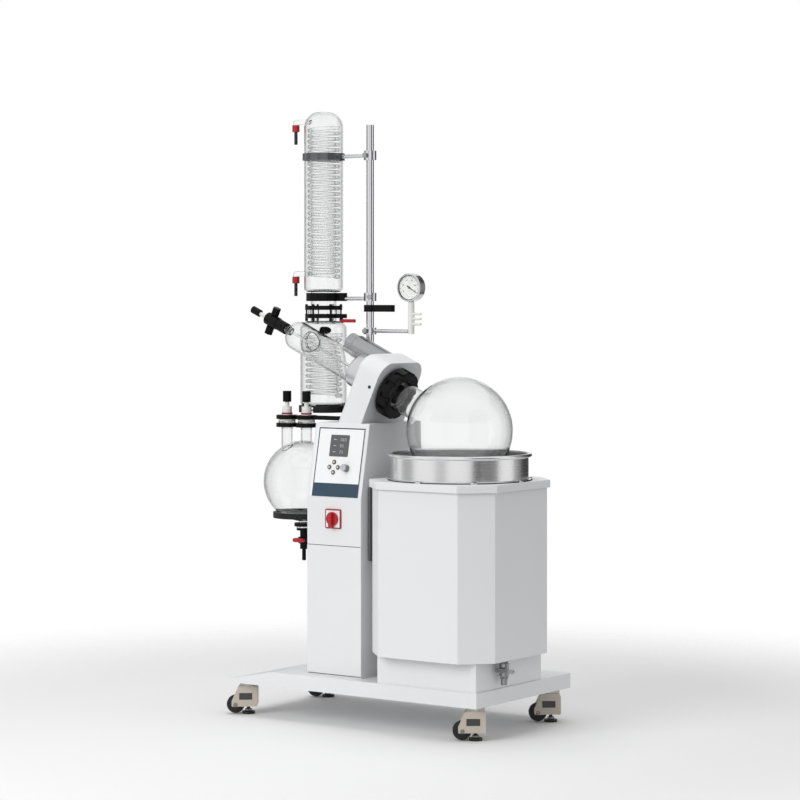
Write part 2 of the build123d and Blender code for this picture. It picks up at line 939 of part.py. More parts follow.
# Vapour head: slanted glass tube with a port to the condenser and the feed tube inside
port_spot = on_axis(port_along, port_drop)
port_x, port_z = port_spot[0], port_spot[2]
port_plane = facing_back(port_x, bath_y, port_z)
shoulder_outer = vapour_radius - vapour_neck
shoulder_inner = shoulder_outer - vapour_wall
neck_floor = vapour_shoulder + shoulder_inner
with BuildPart() as vapour_head:
    with BuildSketch(axis_plane):
        with BuildLine():
            Polyline(
                (0, vapour_start),
                (vapour_radius, vapour_start),
                (vapour_radius, vapour_shoulder),
            )
            RadiusArc(
                (vapour_radius, vapour_shoulder),
                (vapour_neck, vapour_shoulder + shoulder_outer),
                -shoulder_outer,
            )
            Polyline(
                (vapour_neck, vapour_shoulder + shoulder_outer),
                (vapour_neck, vapour_end),
                (0, vapour_end),
                (0, vapour_start),
            )
        make_face()
    revolve(axis=flask_axis)
    with BuildSketch(port_plane):
        Circle(port_radius)
    extrude(amount=port_joint_y)
    with BuildSketch(axis_plane):
        with BuildLine():
            Polyline(
                (0, vapour_start),
                (vapour_radius - vapour_wall, vapour_start),
                (vapour_radius - vapour_wall, vapour_shoulder),
            )
            RadiusArc(
                (vapour_radius - vapour_wall, vapour_shoulder),
                (vapour_neck, neck_floor),
                -shoulder_inner,
            )
            Polyline(
                (vapour_neck, neck_floor),
                (feed_tube_radius + feed_tube_room, neck_floor),
                (feed_tube_radius + feed_tube_room, vapour_end),
                (0, vapour_end),
                (0, vapour_start),
            )
        make_face()
    revolve(axis=flask_axis, mode=Mode.SUBTRACT)
    with BuildSketch(port_plane):
        Circle(port_radius - port_wall)
    extrude(amount=port_joint_y, mode=Mode.SUBTRACT)
    with BuildSketch(across(feed_tube_start)):
        Circle(feed_tube_radius)
        Circle(feed_tube_radius - feed_tube_wall, mode=Mode.SUBTRACT)
    extrude(amount=vapour_end - feed_tube_start)
finish(vapour_head.part, "vapour_head")

# Feed valve with a key through its barrel
feed_tip_start = feed_tip_end - feed_tip_length
feed_barrel_start = feed_key_along - feed_barrel_half
feed_barrel_end = feed_key_along + feed_barrel_half
key_plane = Plane(origin=on_axis(feed_key_along), x_dir=(0, 1, 0), z_dir=perp_dir)
with BuildPart() as feed_valve_body:
    revolve(
        outline(
            axis_plane,
            (0, vapour_end),
            (vapour_neck + feed_collar, vapour_end),
            (vapour_neck + feed_collar, feed_barrel_start),
            (feed_body_radius, feed_barrel_start),
            (feed_body_radius, feed_barrel_end),
            (feed_neck, feed_barrel_end),
            (feed_neck, feed_tip_start),
            (feed_tip_radius, feed_tip_start),
            (feed_tip_radius, feed_tip_end),
            (0, feed_tip_end),
            rounds=(0, 2, 0, 1, 3, 0, 0, 2, 2, 0),
        ),
        axis=flask_axis,
    )
    with BuildSketch(key_plane):
        Circle(key_radius + run_gap)
    extrude(amount=2 * feed_body_radius, both=True, mode=Mode.SUBTRACT)
finish(feed_valve_body.part, "feed_valve_body")

with BuildPart() as feed_knob:
    with BuildSketch(key_plane):
        Circle(key_radius)
    extrude(amount=feed_body_radius + seat_gap + key_root, both=True)
    for side in (1, -1):
        with BuildSketch(key_plane.offset(side * (feed_body_radius + seat_gap))):
            Circle(key_radius_grip)
            with PolarLocations(key_radius_grip + key_root, key_flutes):
                Circle(key_flute_radius, mode=Mode.SUBTRACT)
        extrude(amount=side * key_grip)
finish(feed_knob.part, "feed_knob")

# Lower condenser: glass barrel with the vapour port and a drain tube to the receiver
cond_axis = vertical(cond_x, cond_y)
cond_plane = upright(cond_x, cond_y)
flange_bottom = coupling_joint - coupling_flange_height
flange_top = coupling_joint + coupling_flange_height
receiver_neck_spots = [(bath_x + x, bath_y + y) for x, y in receiver_necks]
inlet_x, inlet_y = receiver_neck_spots[1]
drain_level = receiver_joint + drain_rise
inner_neck = coupling_neck - glass_wall
inner_barrel = lower_radius - glass_wall
with BuildPart() as lower_condenser:
    revolve(
        outline(
            cond_plane,
            (0, lower_bottom),
            (lower_radius, lower_bottom),
            (lower_radius, lower_top),
            (coupling_neck, lower_top),
            (coupling_neck, flange_bottom),
            (coupling_flange, flange_bottom),
            (coupling_flange, coupling_joint),
            (0, coupling_joint),
            rounds=(0, 12, lower_round, 0, 0, 0, 0, 0),
        ),
        axis=cond_axis,
    )
    with BuildSketch(facing_back(port_x, bath_y + port_joint_y, port_z)):
        Circle(port_radius)
    extrude(amount=condenser_y - port_joint_y)
    revolve(
        outline(
            cond_plane,
            (0, lower_bottom + glass_wall),
            (inner_barrel, lower_bottom + glass_wall),
            (inner_barrel, lower_top - glass_wall),
            (inner_neck, lower_top - glass_wall),
            (inner_neck, coupling_joint),
            (0, coupling_joint),
            rounds=(0, 8, lower_round - glass_wall, 0, 0, 0),
        ),
        axis=cond_axis,
        mode=Mode.SUBTRACT,
    )
    with BuildSketch(facing_back(port_x, bath_y + port_joint_y, port_z)):
        Circle(port_radius - port_wall)
    extrude(amount=condenser_y - port_joint_y, mode=Mode.SUBTRACT)
    with BuildLine() as drain_path:
        FilletPolyline(
            (cond_x, cond_y, lower_bottom),
            (cond_x, cond_y, drain_level),
            (inlet_x, inlet_y + valve_body_radius + seat_gap, drain_level),
            radius=drain_bend,
        )
    with BuildSketch(Plane(origin=drain_path.line @ 0, z_dir=drain_path.line % 0)):
        Circle(drain_tube)
    sweep(path=drain_path.line)
finish(lower_condenser.part, "lower_condenser")

# Upper condenser: tall glass barrel with a domed top and two side arms for coolant
arm_x = bath_x + hose_arm_x
inner_upper = upper_radius - glass_wall
with BuildPart() as upper_condenser:
    revolve(
        outline(
            cond_plane,
            (0, coupling_joint),
            (coupling_flange, coupling_joint),
            (coupling_flange, flange_top),
            (coupling_neck, flange_top),
            (coupling_neck, upper_bottom),
            (upper_radius, upper_bottom),
            (upper_radius, upper_top),
            (0, upper_top),
            rounds=(0, 0, 0, 0, 0, upper_foot_round, upper_dome_round, 0),
        ),
        axis=cond_axis,
    )
    for level in hose_arm_levels:
        with Locations((cond_x, cond_y, level)):
            Cylinder(hose_arm_radius, cond_x - arm_x, rotation=(0, -90, 0),
                     align=(Align.CENTER, Align.CENTER, Align.MIN))
        with Locations((arm_x, cond_y, level)):
            Sphere(hose_arm_radius)
            Cylinder(hose_arm_radius, arm_drop, align=(Align.CENTER, Align.CENTER, Align.MAX))
    revolve(
        outline(
            cond_plane,
            (0, coupling_joint),
            (inner_neck, coupling_joint),
            (inner_neck, upper_bottom + glass_wall),
            (inner_upper, upper_bottom + glass_wall),
            (inner_upper, upper_top - glass_wall),
            (0, upper_top - glass_wall),
            rounds=(0, 0, 0, upper_foot_round - glass_wall, upper_dome_round - glass_wall, 0),
        ),
        axis=cond_axis,
        mode=Mode.SUBTRACT,
    )
finish(upper_condenser.part, "upper_condenser")

# Red screw caps with hose tails under the side arms
with BuildPart() as hose_caps:
    for level in hose_arm_levels:
        seat = level - arm_drop
        cap_start = seat + hose_cap_cover
        cap_end = cap_start - hose_cap_height
        tail_end = cap_end - hose_tail_length
        revolve(
            outline(
                upright(arm_x, cond_y),
                (0, seat - seat_gap),
                (hose_arm_radius + seat_gap, seat - seat_gap),
                (hose_arm_radius + seat_gap, cap_start),
                (hose_cap_radius, cap_start),
                (hose_cap_radius, cap_end),
                (hose_tail_radius, cap_end),
                (hose_tail_radius, tail_end),
                (0, tail_end),
            ),
            axis=vertical(arm_x, cond_y),
        )
finish(hose_caps.part, "hose_caps")

# Condenser coils: a helix in each barrel, its ends turned out to the wall
def coil_path(radius, bottom, turns, wall):
    """Helix with a short radial lead to the glass at each end."""
    top = bottom + coil_pitch * turns
    reach = wall - seat_gap
    with BuildLine(mode=Mode.PRIVATE) as route:
        Helix(coil_pitch, coil_pitch * turns, radius, center=(cond_x, cond_y, bottom))
    ends = [(cond_x + radius, cond_y, z) for z in (bottom, top)]
    return route.line, ends, reach - radius


with BuildPart() as condenser_coils:
    for radius, bottom, turns, wall in (
        (upper_coil_radius, upper_coil_bottom, upper_coil_turns, inner_upper),
        (lower_coil_radius, lower_coil_bottom, lower_coil_turns, inner_barrel),
    ):
        helix, ends, lead = coil_path(radius, bottom, turns, wall)
        with BuildSketch(Plane(origin=helix @ 0, x_dir=(1, 0, 0), z_dir=helix % 0)):
            RegularPolygon(coil_tube, 6)
        sweep(path=helix, is_frenet=True)
        with Locations(*ends):
            Cylinder(coil_lead, lead, rotation=(0, 90, 0), align=(Align.CENTER, Align.CENTER, Align.MIN))
finish(condenser_coils.part, "condenser_coils")

# Black steel supports: split ring under the condenser on the rod, and the receiver's ring on the column
support_bottom = lower_bottom - support_height
ball_x = bath_x + receiver_x
ball_y = bath_y + receiver_y
ring_top = receiver_ring_bottom + receiver_ring_height
ring_bore = sqrt(receiver_radius ** 2 - (receiver_z - ring_top) ** 2) + seat_gap
column_left_face = column_x - column_width / 2
with BuildPart() as glass_supports:
    with BuildSketch(Plane.XY.offset(support_bottom)):
        with Locations((cond_x, cond_y)):
            Circle(lower_radius + support_lip)
        with Locations(((cond_x + pole_x) / 2, pole_y)):
            Rectangle(pole_x - cond_x, support_height)
        with Locations((pole_x, pole_y)):
            Circle(boss_radius)
        with Locations((cond_x, cond_y)):
            Circle(lower_radius - support_ledge, mode=Mode.SUBTRACT)
        with Locations((cond_x, cond_y - lower_radius)):
            Rectangle(4 * drain_tube, lower_radius, mode=Mode.SUBTRACT)
        with Locations((pole_x, pole_y)):
            Circle(rod_radius + seat_gap, mode=Mode.SUBTRACT)
    extrude(amount=support_height)
    with BuildSketch(Plane.XY.offset(receiver_ring_bottom)):
        with Locations((ball_x, ball_y)):
            Circle(receiver_ring_radius)
        with Locations(((ball_x + column_left_face) / 2, ball_y)):
            Rectangle(column_left_face - ball_x, 2 * receiver_ring_height)
        with Locations((ball_x, ball_y)):
            Circle(ring_bore, mode=Mode.SUBTRACT)
    extrude(amount=receiver_ring_height)
    with Locations((column_left_face, ball_y, receiver_ring_bottom + receiver_ring_height / 2)):
        Box(wall_plate, 4 * receiver_ring_height, 4 * receiver_ring_height,
            align=(Align.MAX, Align.CENTER, Align.CENTER))
finish(glass_supports.part, "glass_supports")

# Black clamps: coupling flanges, ring clamp on the rod, neck clamps, caps and the drain stopcock
cap_bore_top = cap_top - cap_crown
cock_z = (drain_cock_bottom + drain_neck_end) / 2 - cock_drop
lever_pivot_x = cond_x + clamp_radius + lever_offset
side_cap_x = cond_x + side_cap_shift
neck_bar_start = inlet_x + receiver_clamp - neck_bar_root
with BuildPart() as glass_clamps:
    for bottom in (flange_bottom - clamp_height, flange_top):
        ring = ring_points(coupling_neck + seat_gap, clamp_radius, bottom, bottom + clamp_height)
        revolve(outline(cond_plane, *ring), axis=cond_axis)
    with Locations((cond_x + clamp_radius - lug_root, cond_y, flange_bottom - clamp_height)):
        Box(lug_root + lug_length, lug_width, clamp_height, align=(Align.MIN, Align.CENTER, Align.MIN))
    with Locations((lever_pivot_x, cond_y, flange_bottom - clamp_height)):
        Cylinder(lever_pin, lever_thickness + 2 * lever_drop, align=(Align.CENTER, Align.CENTER, Align.MAX))
    with BuildSketch(Plane.XY.offset(ring_clamp_bottom)):
        with Locations((cond_x, cond_y)):
            Circle(coupling_neck + ring_clamp_wall)
        with Locations((cond_x + ring_lug / 2, pole_y)):
            Rectangle(ring_lug, ring_lug_width)
        with Locations((cond_x, cond_y)):
            Circle(coupling_neck + seat_gap, mode=Mode.SUBTRACT)
    extrude(amount=ring_clamp_height)
    with BuildSketch(Plane.XY.offset(hose_bar_z - support_height / 2)):
        with Locations((pole_x, pole_y)):
            Circle(small_boss)
        with Locations(((pole_x + bath_x + hose_bar_end) / 2, pole_y)):
            Rectangle(bath_x + hose_bar_end - pole_x, hose_bar_width)
        with Locations((pole_x, pole_y)):
            Circle(rod_radius + seat_gap, mode=Mode.SUBTRACT)
    extrude(amount=support_height)
    for x, y in receiver_neck_spots:
        low = receiver_joint - receiver_flange_height - receiver_clamp_height
        high = receiver_joint + receiver_flange_height
        for bore, bottom in ((receiver_neck_radius, low), (valve_body_radius, high)):
            ring = ring_points(bore + seat_gap, receiver_clamp, bottom, bottom + receiver_clamp_height)
            revolve(outline(upright(x, y), *ring), axis=vertical(x, y))
    with Locations((neck_bar_start, inlet_y, console_top)):
        Box(bath_x + neck_bar_end - neck_bar_start, neck_bar_width, receiver_clamp_height,
            align=(Align.MIN, Align.CENTER, Align.MIN))
    revolve(
        outline(
            upright(inlet_x, inlet_y),
            (valve_stem_radius + seat_gap, cap_bottom),
            (cap_radius, cap_bottom),
            (cap_radius, cap_top),
            (0, cap_top),
            (0, cap_bore_top),
            (valve_stem_radius + seat_gap, cap_bore_top),
        ),
        axis=vertical(inlet_x, inlet_y),
    )
    collar_bottom = drain_neck_end + drain_flange_height
    collar = ring_points(
        drain_neck_radius + seat_gap, drain_collar, collar_bottom, collar_bottom + drain_collar_height
    )
    revolve(outline(upright(ball_x, ball_y), *collar), axis=vertical(ball_x, ball_y))
    revolve(
        outline(
            upright(ball_x, ball_y),
            (0, drain_neck_end),
            (drain_flange, drain_neck_end),
            (drain_flange, drain_neck_end - drain_flange_height),
            (cock_neck, drain_neck_end - drain_flange_height),
            (cock_neck, drain_cock_bottom),
            (drain_tail_radius, drain_cock_bottom),
            (drain_tail_radius, drain_tail_end),
            (0, drain_tail_end),
        ),
        axis=vertical(ball_x, ball_y),
    )
    with BuildSketch(facing_back(ball_x, ball_y, cock_z)):
        Circle(cock_barrel)
    extrude(amount=cock_half, both=True)
    with BuildSketch(facing_back(ball_x, ball_y, cock_z)):
        Circle(cock_key + run_gap)
    extrude(amount=2 * cock_half, both=True, mode=Mode.SUBTRACT)
    with BuildSketch(facing_back(side_cap_x, bath_y + side_cap_front, side_cap_z)):
        Circle(side_cap_radius)
    extrude(amount=condenser_y - side_cap_front)
    with Locations((cond_x, cond_y, side_cap_z)):
        Cylinder(lower_radius + seat_gap, 4 * side_cap_radius, mode=Mode.SUBTRACT)
finish(glass_clamps.part, "glass_clamps")

with BuildPart() as discharge_knob:
    with BuildSketch(facing_back(ball_x, ball_y, cock_z)):
        Circle(cock_key)
    extrude(amount=cock_half + seat_gap + cock_root, both=True)
    with BuildSketch(facing_back(ball_x, ball_y - cock_half - seat_gap, cock_z)):
        SlotOverall(cock_grip, cock_grip_width)
    extrude(amount=-cock_grip_depth)
    with BuildSketch(facing_back(ball_x, ball_y + cock_half + seat_gap, cock_z)):
        Circle(cock_barrel - cock_root)
    extrude(amount=cock_grip_depth)
finish(discharge_knob.part, "discharge_knob")

with BuildPart() as vacuum_lever:
    lever_top = flange_bottom - clamp_height - lever_drop
    with BuildSketch(Plane.XY.offset(lever_top - lever_thickness)):
        with Locations((lever_pivot_x + (lever_tip - vacuum_lever_width) / 2, cond_y)):
            SlotOverall(lever_tip, vacuum_lever_width)
        with Locations((lever_pivot_x, cond_y)):
            Circle(lever_pin + run_gap, mode=Mode.SUBTRACT)
    extrude(amount=lever_thickness)
    fillet(vacuum_lever.faces().sort_by(Axis.Z)[-1].outer_wire().edges(), lever_round)
finish(vacuum_lever.part, "vacuum_lever")

# Support rod, its bosses and arms, the manifold post and the vacuum gauge
with BuildPart() as support_rod:
    with Locations((pole_x, pole_y, console_top)):
        Cylinder(rod_radius, rod_top - console_top, align=(Align.CENTER, Align.CENTER, Align.MIN))
    fillet(support_rod.faces().sort_by(Axis.Z)[-1].edges(), rod_round)
finish(support_rod.part, "support_rod")

gauge_axis_x = bath_x + gauge_x
gauge_arm_z = post_bottom + gauge_arm_rise
ring_arm_z = ring_clamp_bottom + ring_arm_rise
with BuildPart() as rod_clamps:
    for radius, low, high in (
        (socket_radius, console_top, console_top + socket_height),
        (small_boss, band_bottom - boss_wall, band_bottom + band_height + boss_wall),
        (small_boss, ring_clamp_bottom, ring_clamp_bottom + ring_clamp_height),
        (small_boss, gauge_arm_z - gauge_boss_half, gauge_arm_z + gauge_boss_half),
    ):
        ring = ring_points(rod_radius + seat_gap, radius, low, high)
        revolve(outline(upright(pole_x, pole_y), *ring), axis=vertical(pole_x, pole_y))
    band_top = band_bottom + band_height
    band = ring_points(upper_radius + seat_gap, upper_radius + band_wall, band_bottom, band_top)
    revolve(outline(cond_plane, *band), axis=cond_axis)
    boss_edge = rod_radius + boss_wall
    band_end = cond_x + upper_radius + band_wall / 2
    ring_lug_end = cond_x + ring_lug + seat_gap
    for start, level in ((band_end, band_bottom + band_height / 2), (ring_lug_end, ring_arm_z)):
        with Locations((start, pole_y, level)):
            Cylinder(arm_radius, pole_x - boss_edge - start, rotation=(0, 90, 0),
                     align=(Align.CENTER, Align.CENTER, Align.MIN))
    arm_start = pole_x + boss_edge
    with Locations((arm_start, pole_y, gauge_arm_z)):
        Cylinder(arm_radius, gauge_axis_x - post_radius - seat_gap - arm_start, rotation=(0, 90, 0),
                 align=(Align.CENTER, Align.CENTER, Align.MIN))
finish(rod_clamps.part, "rod_clamps")

with BuildPart() as vacuum_post:
    with Locations((gauge_axis_x, pole_y, post_bottom)):
        Cylinder(post_radius, post_top - post_bottom, align=(Align.CENTER, Align.CENTER, Align.MIN))
    with Locations(*[(gauge_axis_x, pole_y, z) for z in barb_levels]):
        Cylinder(barb_collar, post_radius + barb_root, rotation=(0, 90, 0),
                 align=(Align.CENTER, Align.CENTER, Align.MIN))
        Cylinder(barb_radius, post_radius + barb_root + barb_length, rotation=(0, 90, 0),
                 align=(Align.CENTER, Align.CENTER, Align.MIN))
finish(vacuum_post.part, "vacuum_post")

gauge_front = pole_y - gauge_depth / 2
with BuildPart() as gauge_case:
    with BuildSketch(facing_back(gauge_axis_x, gauge_front, gauge_z)):
        Circle(gauge_radius)
    extrude(amount=gauge_depth)
    fillet(gauge_case.edges().filter_by(GeomType.CIRCLE), gauge_round)
    with Locations((gauge_axis_x, pole_y, post_top)):
        Cylinder(gauge_stem, gauge_z - post_top, align=(Align.CENTER, Align.CENTER, Align.MIN))
    with BuildSketch(facing_back(gauge_axis_x, gauge_front, gauge_z)):
        Circle(gauge_radius - bezel_width)
    extrude(amount=dial_recess, mode=Mode.SUBTRACT)
    with BuildSketch(facing_back(gauge_axis_x, gauge_front, gauge_z)):
        Circle(pivot_radius + run_gap)
    extrude(amount=2 * dial_recess, mode=Mode.SUBTRACT)
finish(gauge_case.part, "gauge_case")

with BuildPart() as gauge_needle:
    needle_plane = facing_back(gauge_axis_x, gauge_front + dial_recess - needle_lift, gauge_z)
    with BuildSketch(needle_plane):
        Polygon(
            (-needle_tail, -needle_width), (-needle_tail, needle_width),
            (needle_reach, needle_tip), (needle_reach, -needle_tip),
            rotation=needle_turn, align=None,
        )
        Circle(2 * pivot_radius)
    extrude(amount=needle_lift / 2)
    with BuildSketch(needle_plane):
        Circle(pivot_radius)
    extrude(amount=dial_recess)
finish(gauge_needle.part, "gauge_needle")

# Receiving flask with two necks and a drain, and the valve stems on the necks
with BuildPart() as receiving_flask:
    with Locations((ball_x, ball_y, receiver_z)):
        Sphere(receiver_radius)
    for x, y in receiver_neck_spots:
        with Locations((x, y, receiver_z)):
            Cylinder(receiver_neck_radius, receiver_joint - receiver_z,
                     align=(Align.CENTER, Align.CENTER, Align.MIN))
        with Locations((x, y, receiver_joint)):
            Cylinder(receiver_flange, receiver_flange_height, align=(Align.CENTER, Align.CENTER, Align.MAX))
    with Locations((ball_x, ball_y, drain_neck_end)):
        Cylinder(drain_neck_radius, receiver_z - drain_neck_end,
                 align=(Align.CENTER, Align.CENTER, Align.MIN))
        Cylinder(drain_flange, drain_flange_height, align=(Align.CENTER, Align.CENTER, Align.MIN))
    with Locations((ball_x, ball_y, receiver_z)):
        Sphere(receiver_radius - glass_wall, mode=Mode.SUBTRACT)
    for x, y in receiver_neck_spots:
        with Locations((x, y, receiver_z)):
            Cylinder(receiver_neck_radius - glass_wall, receiver_joint - receiver_z,
                     align=(Align.CENTER, Align.CENTER, Align.MIN), mode=Mode.SUBTRACT)
    with Locations((ball_x, ball_y, drain_neck_end)):
        Cylinder(drain_neck_radius - glass_wall, receiver_z - drain_neck_end,
                 align=(Align.CENTER, Align.CENTER, Align.MIN), mode=Mode.SUBTRACT)
finish(receiving_flask.part, "receiving_flask")

with BuildPart() as receiver_valves:
    for x, y in receiver_neck_spots:
        revolve(
            outline(
                upright(x, y),
                (0, receiver_joint),
                (receiver_flange, receiver_joint),
                (receiver_flange, receiver_joint + receiver_flange_height),
                (valve_body_radius, receiver_joint + receiver_flange_height),
                (valve_body_radius, valve_body_top),
                (valve_stem_radius, valve_body_top),
                (valve_stem_radius, cap_bore_top - stem_clear),
                (0, cap_bore_top - stem_clear),
            ),
            axis=vertical(x, y),
        )
finish(receiver_valves.part, "receiver_valves")

vent_x, vent_y = receiver_neck_spots[0]
with BuildPart() as vent_knob:
    revolve(
        outline(
            upright(vent_x, vent_y),
            (valve_stem_radius + run_gap, cap_bottom),
            (cap_radius, cap_bottom),
            (cap_radius, cap_top),
            (0, cap_top),
            (0, cap_bore_top),
            (valve_stem_radius + run_gap, cap_bore_top),
        ),
        axis=vertical(vent_x, vent_y),
    )
    with BuildSketch(Plane.XY.offset(cap_bottom)):
        with Locations((vent_x, vent_y)):
            with PolarLocations(cap_radius + cap_flute_offset, cap_flutes):
                Circle(cap_flute_radius)
    extrude(amount=cap_top - cap_bottom, mode=Mode.SUBTRACT)
finish(vent_knob.part, "vent_knob")

# Bath: octagonal housing, lid with a skirt, pan with a rolled rim, and the heater under it
chamfer_share = 2 - sqrt(2)
lid_chamfer = bath_chamfer + chamfer_share * (lid_half - bath_half)


def octagon_face(height, half, chamfer):
    """Octagon about the bath axis at a height."""
    return outline(Plane(origin=(bath_x, bath_y, height)), *octagon(half, chamfer))


with BuildPart() as bath_housing:
    housing_height = lid_top - lid_sheet - bath_bottom
    extrude(octagon_face(bath_bottom, bath_half, bath_chamfer), amount=housing_height)
    fillet(bath_housing.edges().filter_by(Axis.Z), base_sheet)
    inner = octagon_face(bath_bottom, bath_half - sheet, bath_chamfer - chamfer_share * sheet)
    extrude(inner, amount=housing_height, mode=Mode.SUBTRACT)
finish(bath_housing.part, "bath_housing")

with BuildPart() as bath_lid:
    extrude(octagon_face(lid_bottom, lid_half, lid_chamfer), amount=lid_top - lid_bottom)
    fillet(bath_lid.edges().filter_by(Axis.Z), base_sheet)
    fillet(bath_lid.faces().sort_by(Axis.Z)[-1].edges(), lid_round)
    inner = octagon_face(lid_bottom, lid_half - lid_sheet, lid_chamfer - chamfer_share * lid_sheet)
    extrude(inner, amount=lid_top - lid_bottom - lid_sheet, mode=Mode.SUBTRACT)
    with Locations((bath_x, bath_y, lid_top)):
        Cylinder(pan_radius + pan_clear, 4 * lid_sheet, mode=Mode.SUBTRACT)
finish(bath_lid.part, "bath_lid")

pan_inner = pan_radius - pan_wall
with BuildPart() as bath_pan:
    revolve(
        outline(
            upright(bath_x, bath_y),
            (0, pan_bottom),
            (pan_radius, pan_bottom),
            (pan_radius, lid_top),
            (pan_foot_radius, lid_top),
            (pan_foot_radius, lid_top + pan_foot),
            (pan_radius, lid_top + pan_foot),
            (pan_radius, pan_rim_top - pan_rim_height),
            (pan_rim_radius, pan_rim_top - pan_rim_height),
            (pan_rim_radius, pan_rim_top),
            (pan_inner, pan_rim_top),
            (pan_inner, pan_bottom + pan_wall),
            (0, pan_bottom + pan_wall),
            rounds=(0, pan_corner, 0, 0, 1.5, 2, 2, 5.5, 5.5, 5.5, pan_corner - pan_wall, 0),
        ),
        axis=vertical(bath_x, bath_y),
    )
finish(bath_pan.part, "bath_pan")

with BuildPart() as pan_heater:
    ring = ring_points(heater_inner, heater_outer, pan_bottom - heater_height, pan_bottom)
    revolve(outline(upright(bath_x, bath_y), *ring), axis=vertical(bath_x, bath_y))
finish(pan_heater.part, "pan_heater")

# Lift: bracket on the bath with a carriage in the column, guides and motor, and the screw
nut_x = bath_x + carriage_x
bracket_face = bath_x - bath_half
guide_spots = [(nut_x, bath_y + side * guide_spread) for side in (-1, 1)]
plate_start = bath_x + column_right + carriage_gap
plate_end = plate_start + bracket_thickness
with BuildPart() as lift_bracket:
    with Locations((plate_start, bath_y, bracket_bottom)):
        Box(bracket_thickness, bracket_width, bracket_height, align=(Align.MIN, Align.CENTER, Align.MIN))
    fillet(lift_bracket.edges().filter_by(Axis.X), bracket_round)
    with Locations((plate_end, bath_y, bracket_bottom + bracket_height / 2)):
        Box(bracket_face - plate_end, spacer_width, spacer_height,
            align=(Align.MIN, Align.CENTER, Align.CENTER))
    with Locations((nut_x, bath_y, arm_bottom)):
        Box(plate_start - nut_x, arm_width, arm_height, align=(Align.MIN, Align.CENTER, Align.MIN))
    with Locations((nut_x, bath_y, arm_bottom - carriage_extra)):
        Box(2 * carriage_half, carriage_width, arm_height + 2 * carriage_extra,
            align=(Align.CENTER, Align.CENTER, Align.MIN))
    carriage_middle = arm_bottom + arm_height / 2
    with Locations(*[(x, y, carriage_middle) for x, y in guide_spots]):
        Cylinder(guide_radius + run_gap, 4 * arm_height, mode=Mode.SUBTRACT)
    with Locations((nut_x, bath_y, carriage_middle)):
        Cylinder(screw_radius + run_gap, 4 * arm_height, mode=Mode.SUBTRACT)
finish(lift_bracket.part, "lift_bracket")

lift_floor = base_top + base_sheet
guide_bottom = lift_floor + lift_motor_height
guide_top = arm_bottom + arm_height + carriage_extra + lift_up + guide_extra
with BuildPart() as lift_drive:
    with Locations((nut_x, bath_y, lift_floor)):
        Box(lift_motor_size, carriage_width, lift_motor_height, align=(Align.CENTER, Align.CENTER, Align.MIN))
    with Locations(*[(x, y, guide_bottom) for x, y in guide_spots]):
        Cylinder(guide_radius, guide_top - guide_bottom, align=(Align.CENTER, Align.CENTER, Align.MIN))
    with Locations((nut_x, bath_y, guide_top)):
        Box(2 * carriage_half, carriage_width, guide_plate, align=(Align.CENTER, Align.CENTER, Align.MIN))
finish(lift_drive.part, "lift_drive")

with BuildPart() as lift_screw:
    with Locations((nut_x, bath_y, guide_bottom + seat_gap)):
        Cylinder(screw_radius, guide_top - guide_bottom - 2 * seat_gap,
                 align=(Align.CENTER, Align.CENTER, Align.MIN))
finish(lift_screw.part, "lift_screw")

# Bath drain: pipe from the pan down inside the housing, ball valve below it, and its lever
valve_x = bath_x + drain_x
valve_y = bath_y + drain_y
pan_outlet_x = valve_x - drain_offset
pipe_level = pan_bottom - drain_drop
stem_end = valve_y - drain_stem
drain_lever_plane = upright(valve_x, stem_end + drain_lever_sheet)
with BuildPart() as drain_valve:
    with BuildLine() as pipe_path:
        FilletPolyline(
            (pan_outlet_x, valve_y, pan_bottom),
            (pan_outlet_x, valve_y, pipe_level),
            (valve_x, valve_y, pipe_level),
            (valve_x, valve_y, drain_valve_z),
            radius=pipe_turn,
        )
    with BuildSketch(Plane(origin=pipe_path.line @ 0, z_dir=pipe_path.line % 0)):
        Circle(drain_pipe)
    sweep(path=pipe_path.line)
    with Locations((valve_x, valve_y, drain_valve_z)):
        Cylinder(ball_body, 2 * ball_half)
    for side in (1, -1):
        with BuildSketch(Plane.XY.offset(drain_valve_z + side * ball_half)):
            with Locations((valve_x, valve_y)):
                RegularPolygon(ball_nut, 6)
        extrude(amount=side * ball_nut_height)
    with Locations((valve_x, valve_y, drain_outlet)):
        Cylinder(drain_pipe, drain_valve_z - drain_outlet, align=(Align.CENTER, Align.CENTER, Align.MIN))
        Cylinder(drain_pipe - drain_pipe_wall, drain_valve_z - drain_outlet - ball_half,
                 align=(Align.CENTER, Align.CENTER, Align.MIN), mode=Mode.SUBTRACT)
    with BuildSketch(upright(valve_x, valve_y)):
        with Locations((0, drain_valve_z)):
            Circle(ball_boss)
    extrude(amount=drain_stem - 2 * drain_lever_sheet)
    with BuildSketch(upright(valve_x, valve_y)):
        with Locations((0, drain_valve_z)):
            Circle(drain_stem_radius)
    extrude(amount=drain_stem)
finish(drain_valve.part, "drain_valve")

with BuildPart() as drain_lever:
    with BuildSketch(drain_lever_plane):
        with Locations(((lever_length - lever_tail) / 2, drain_valve_z)):
            SlotOverall(lever_length + lever_tail, drain_lever_width)
        with Locations((0, drain_valve_z)):
            Circle(drain_stem_radius + run_gap, mode=Mode.SUBTRACT)
    extrude(amount=drain_lever_sheet)
finish(drain_lever.part, "drain_lever")

# Levelling casters: housing on a kingpin, wheel behind it and a pad that carries the weight, all turned alike
wheel_z = wheel_clear + wheel_radius
well_top = wheel_z + wheel_radius + wheel_clear
pad_bore_top = housing_bottom + pad_bore_depth


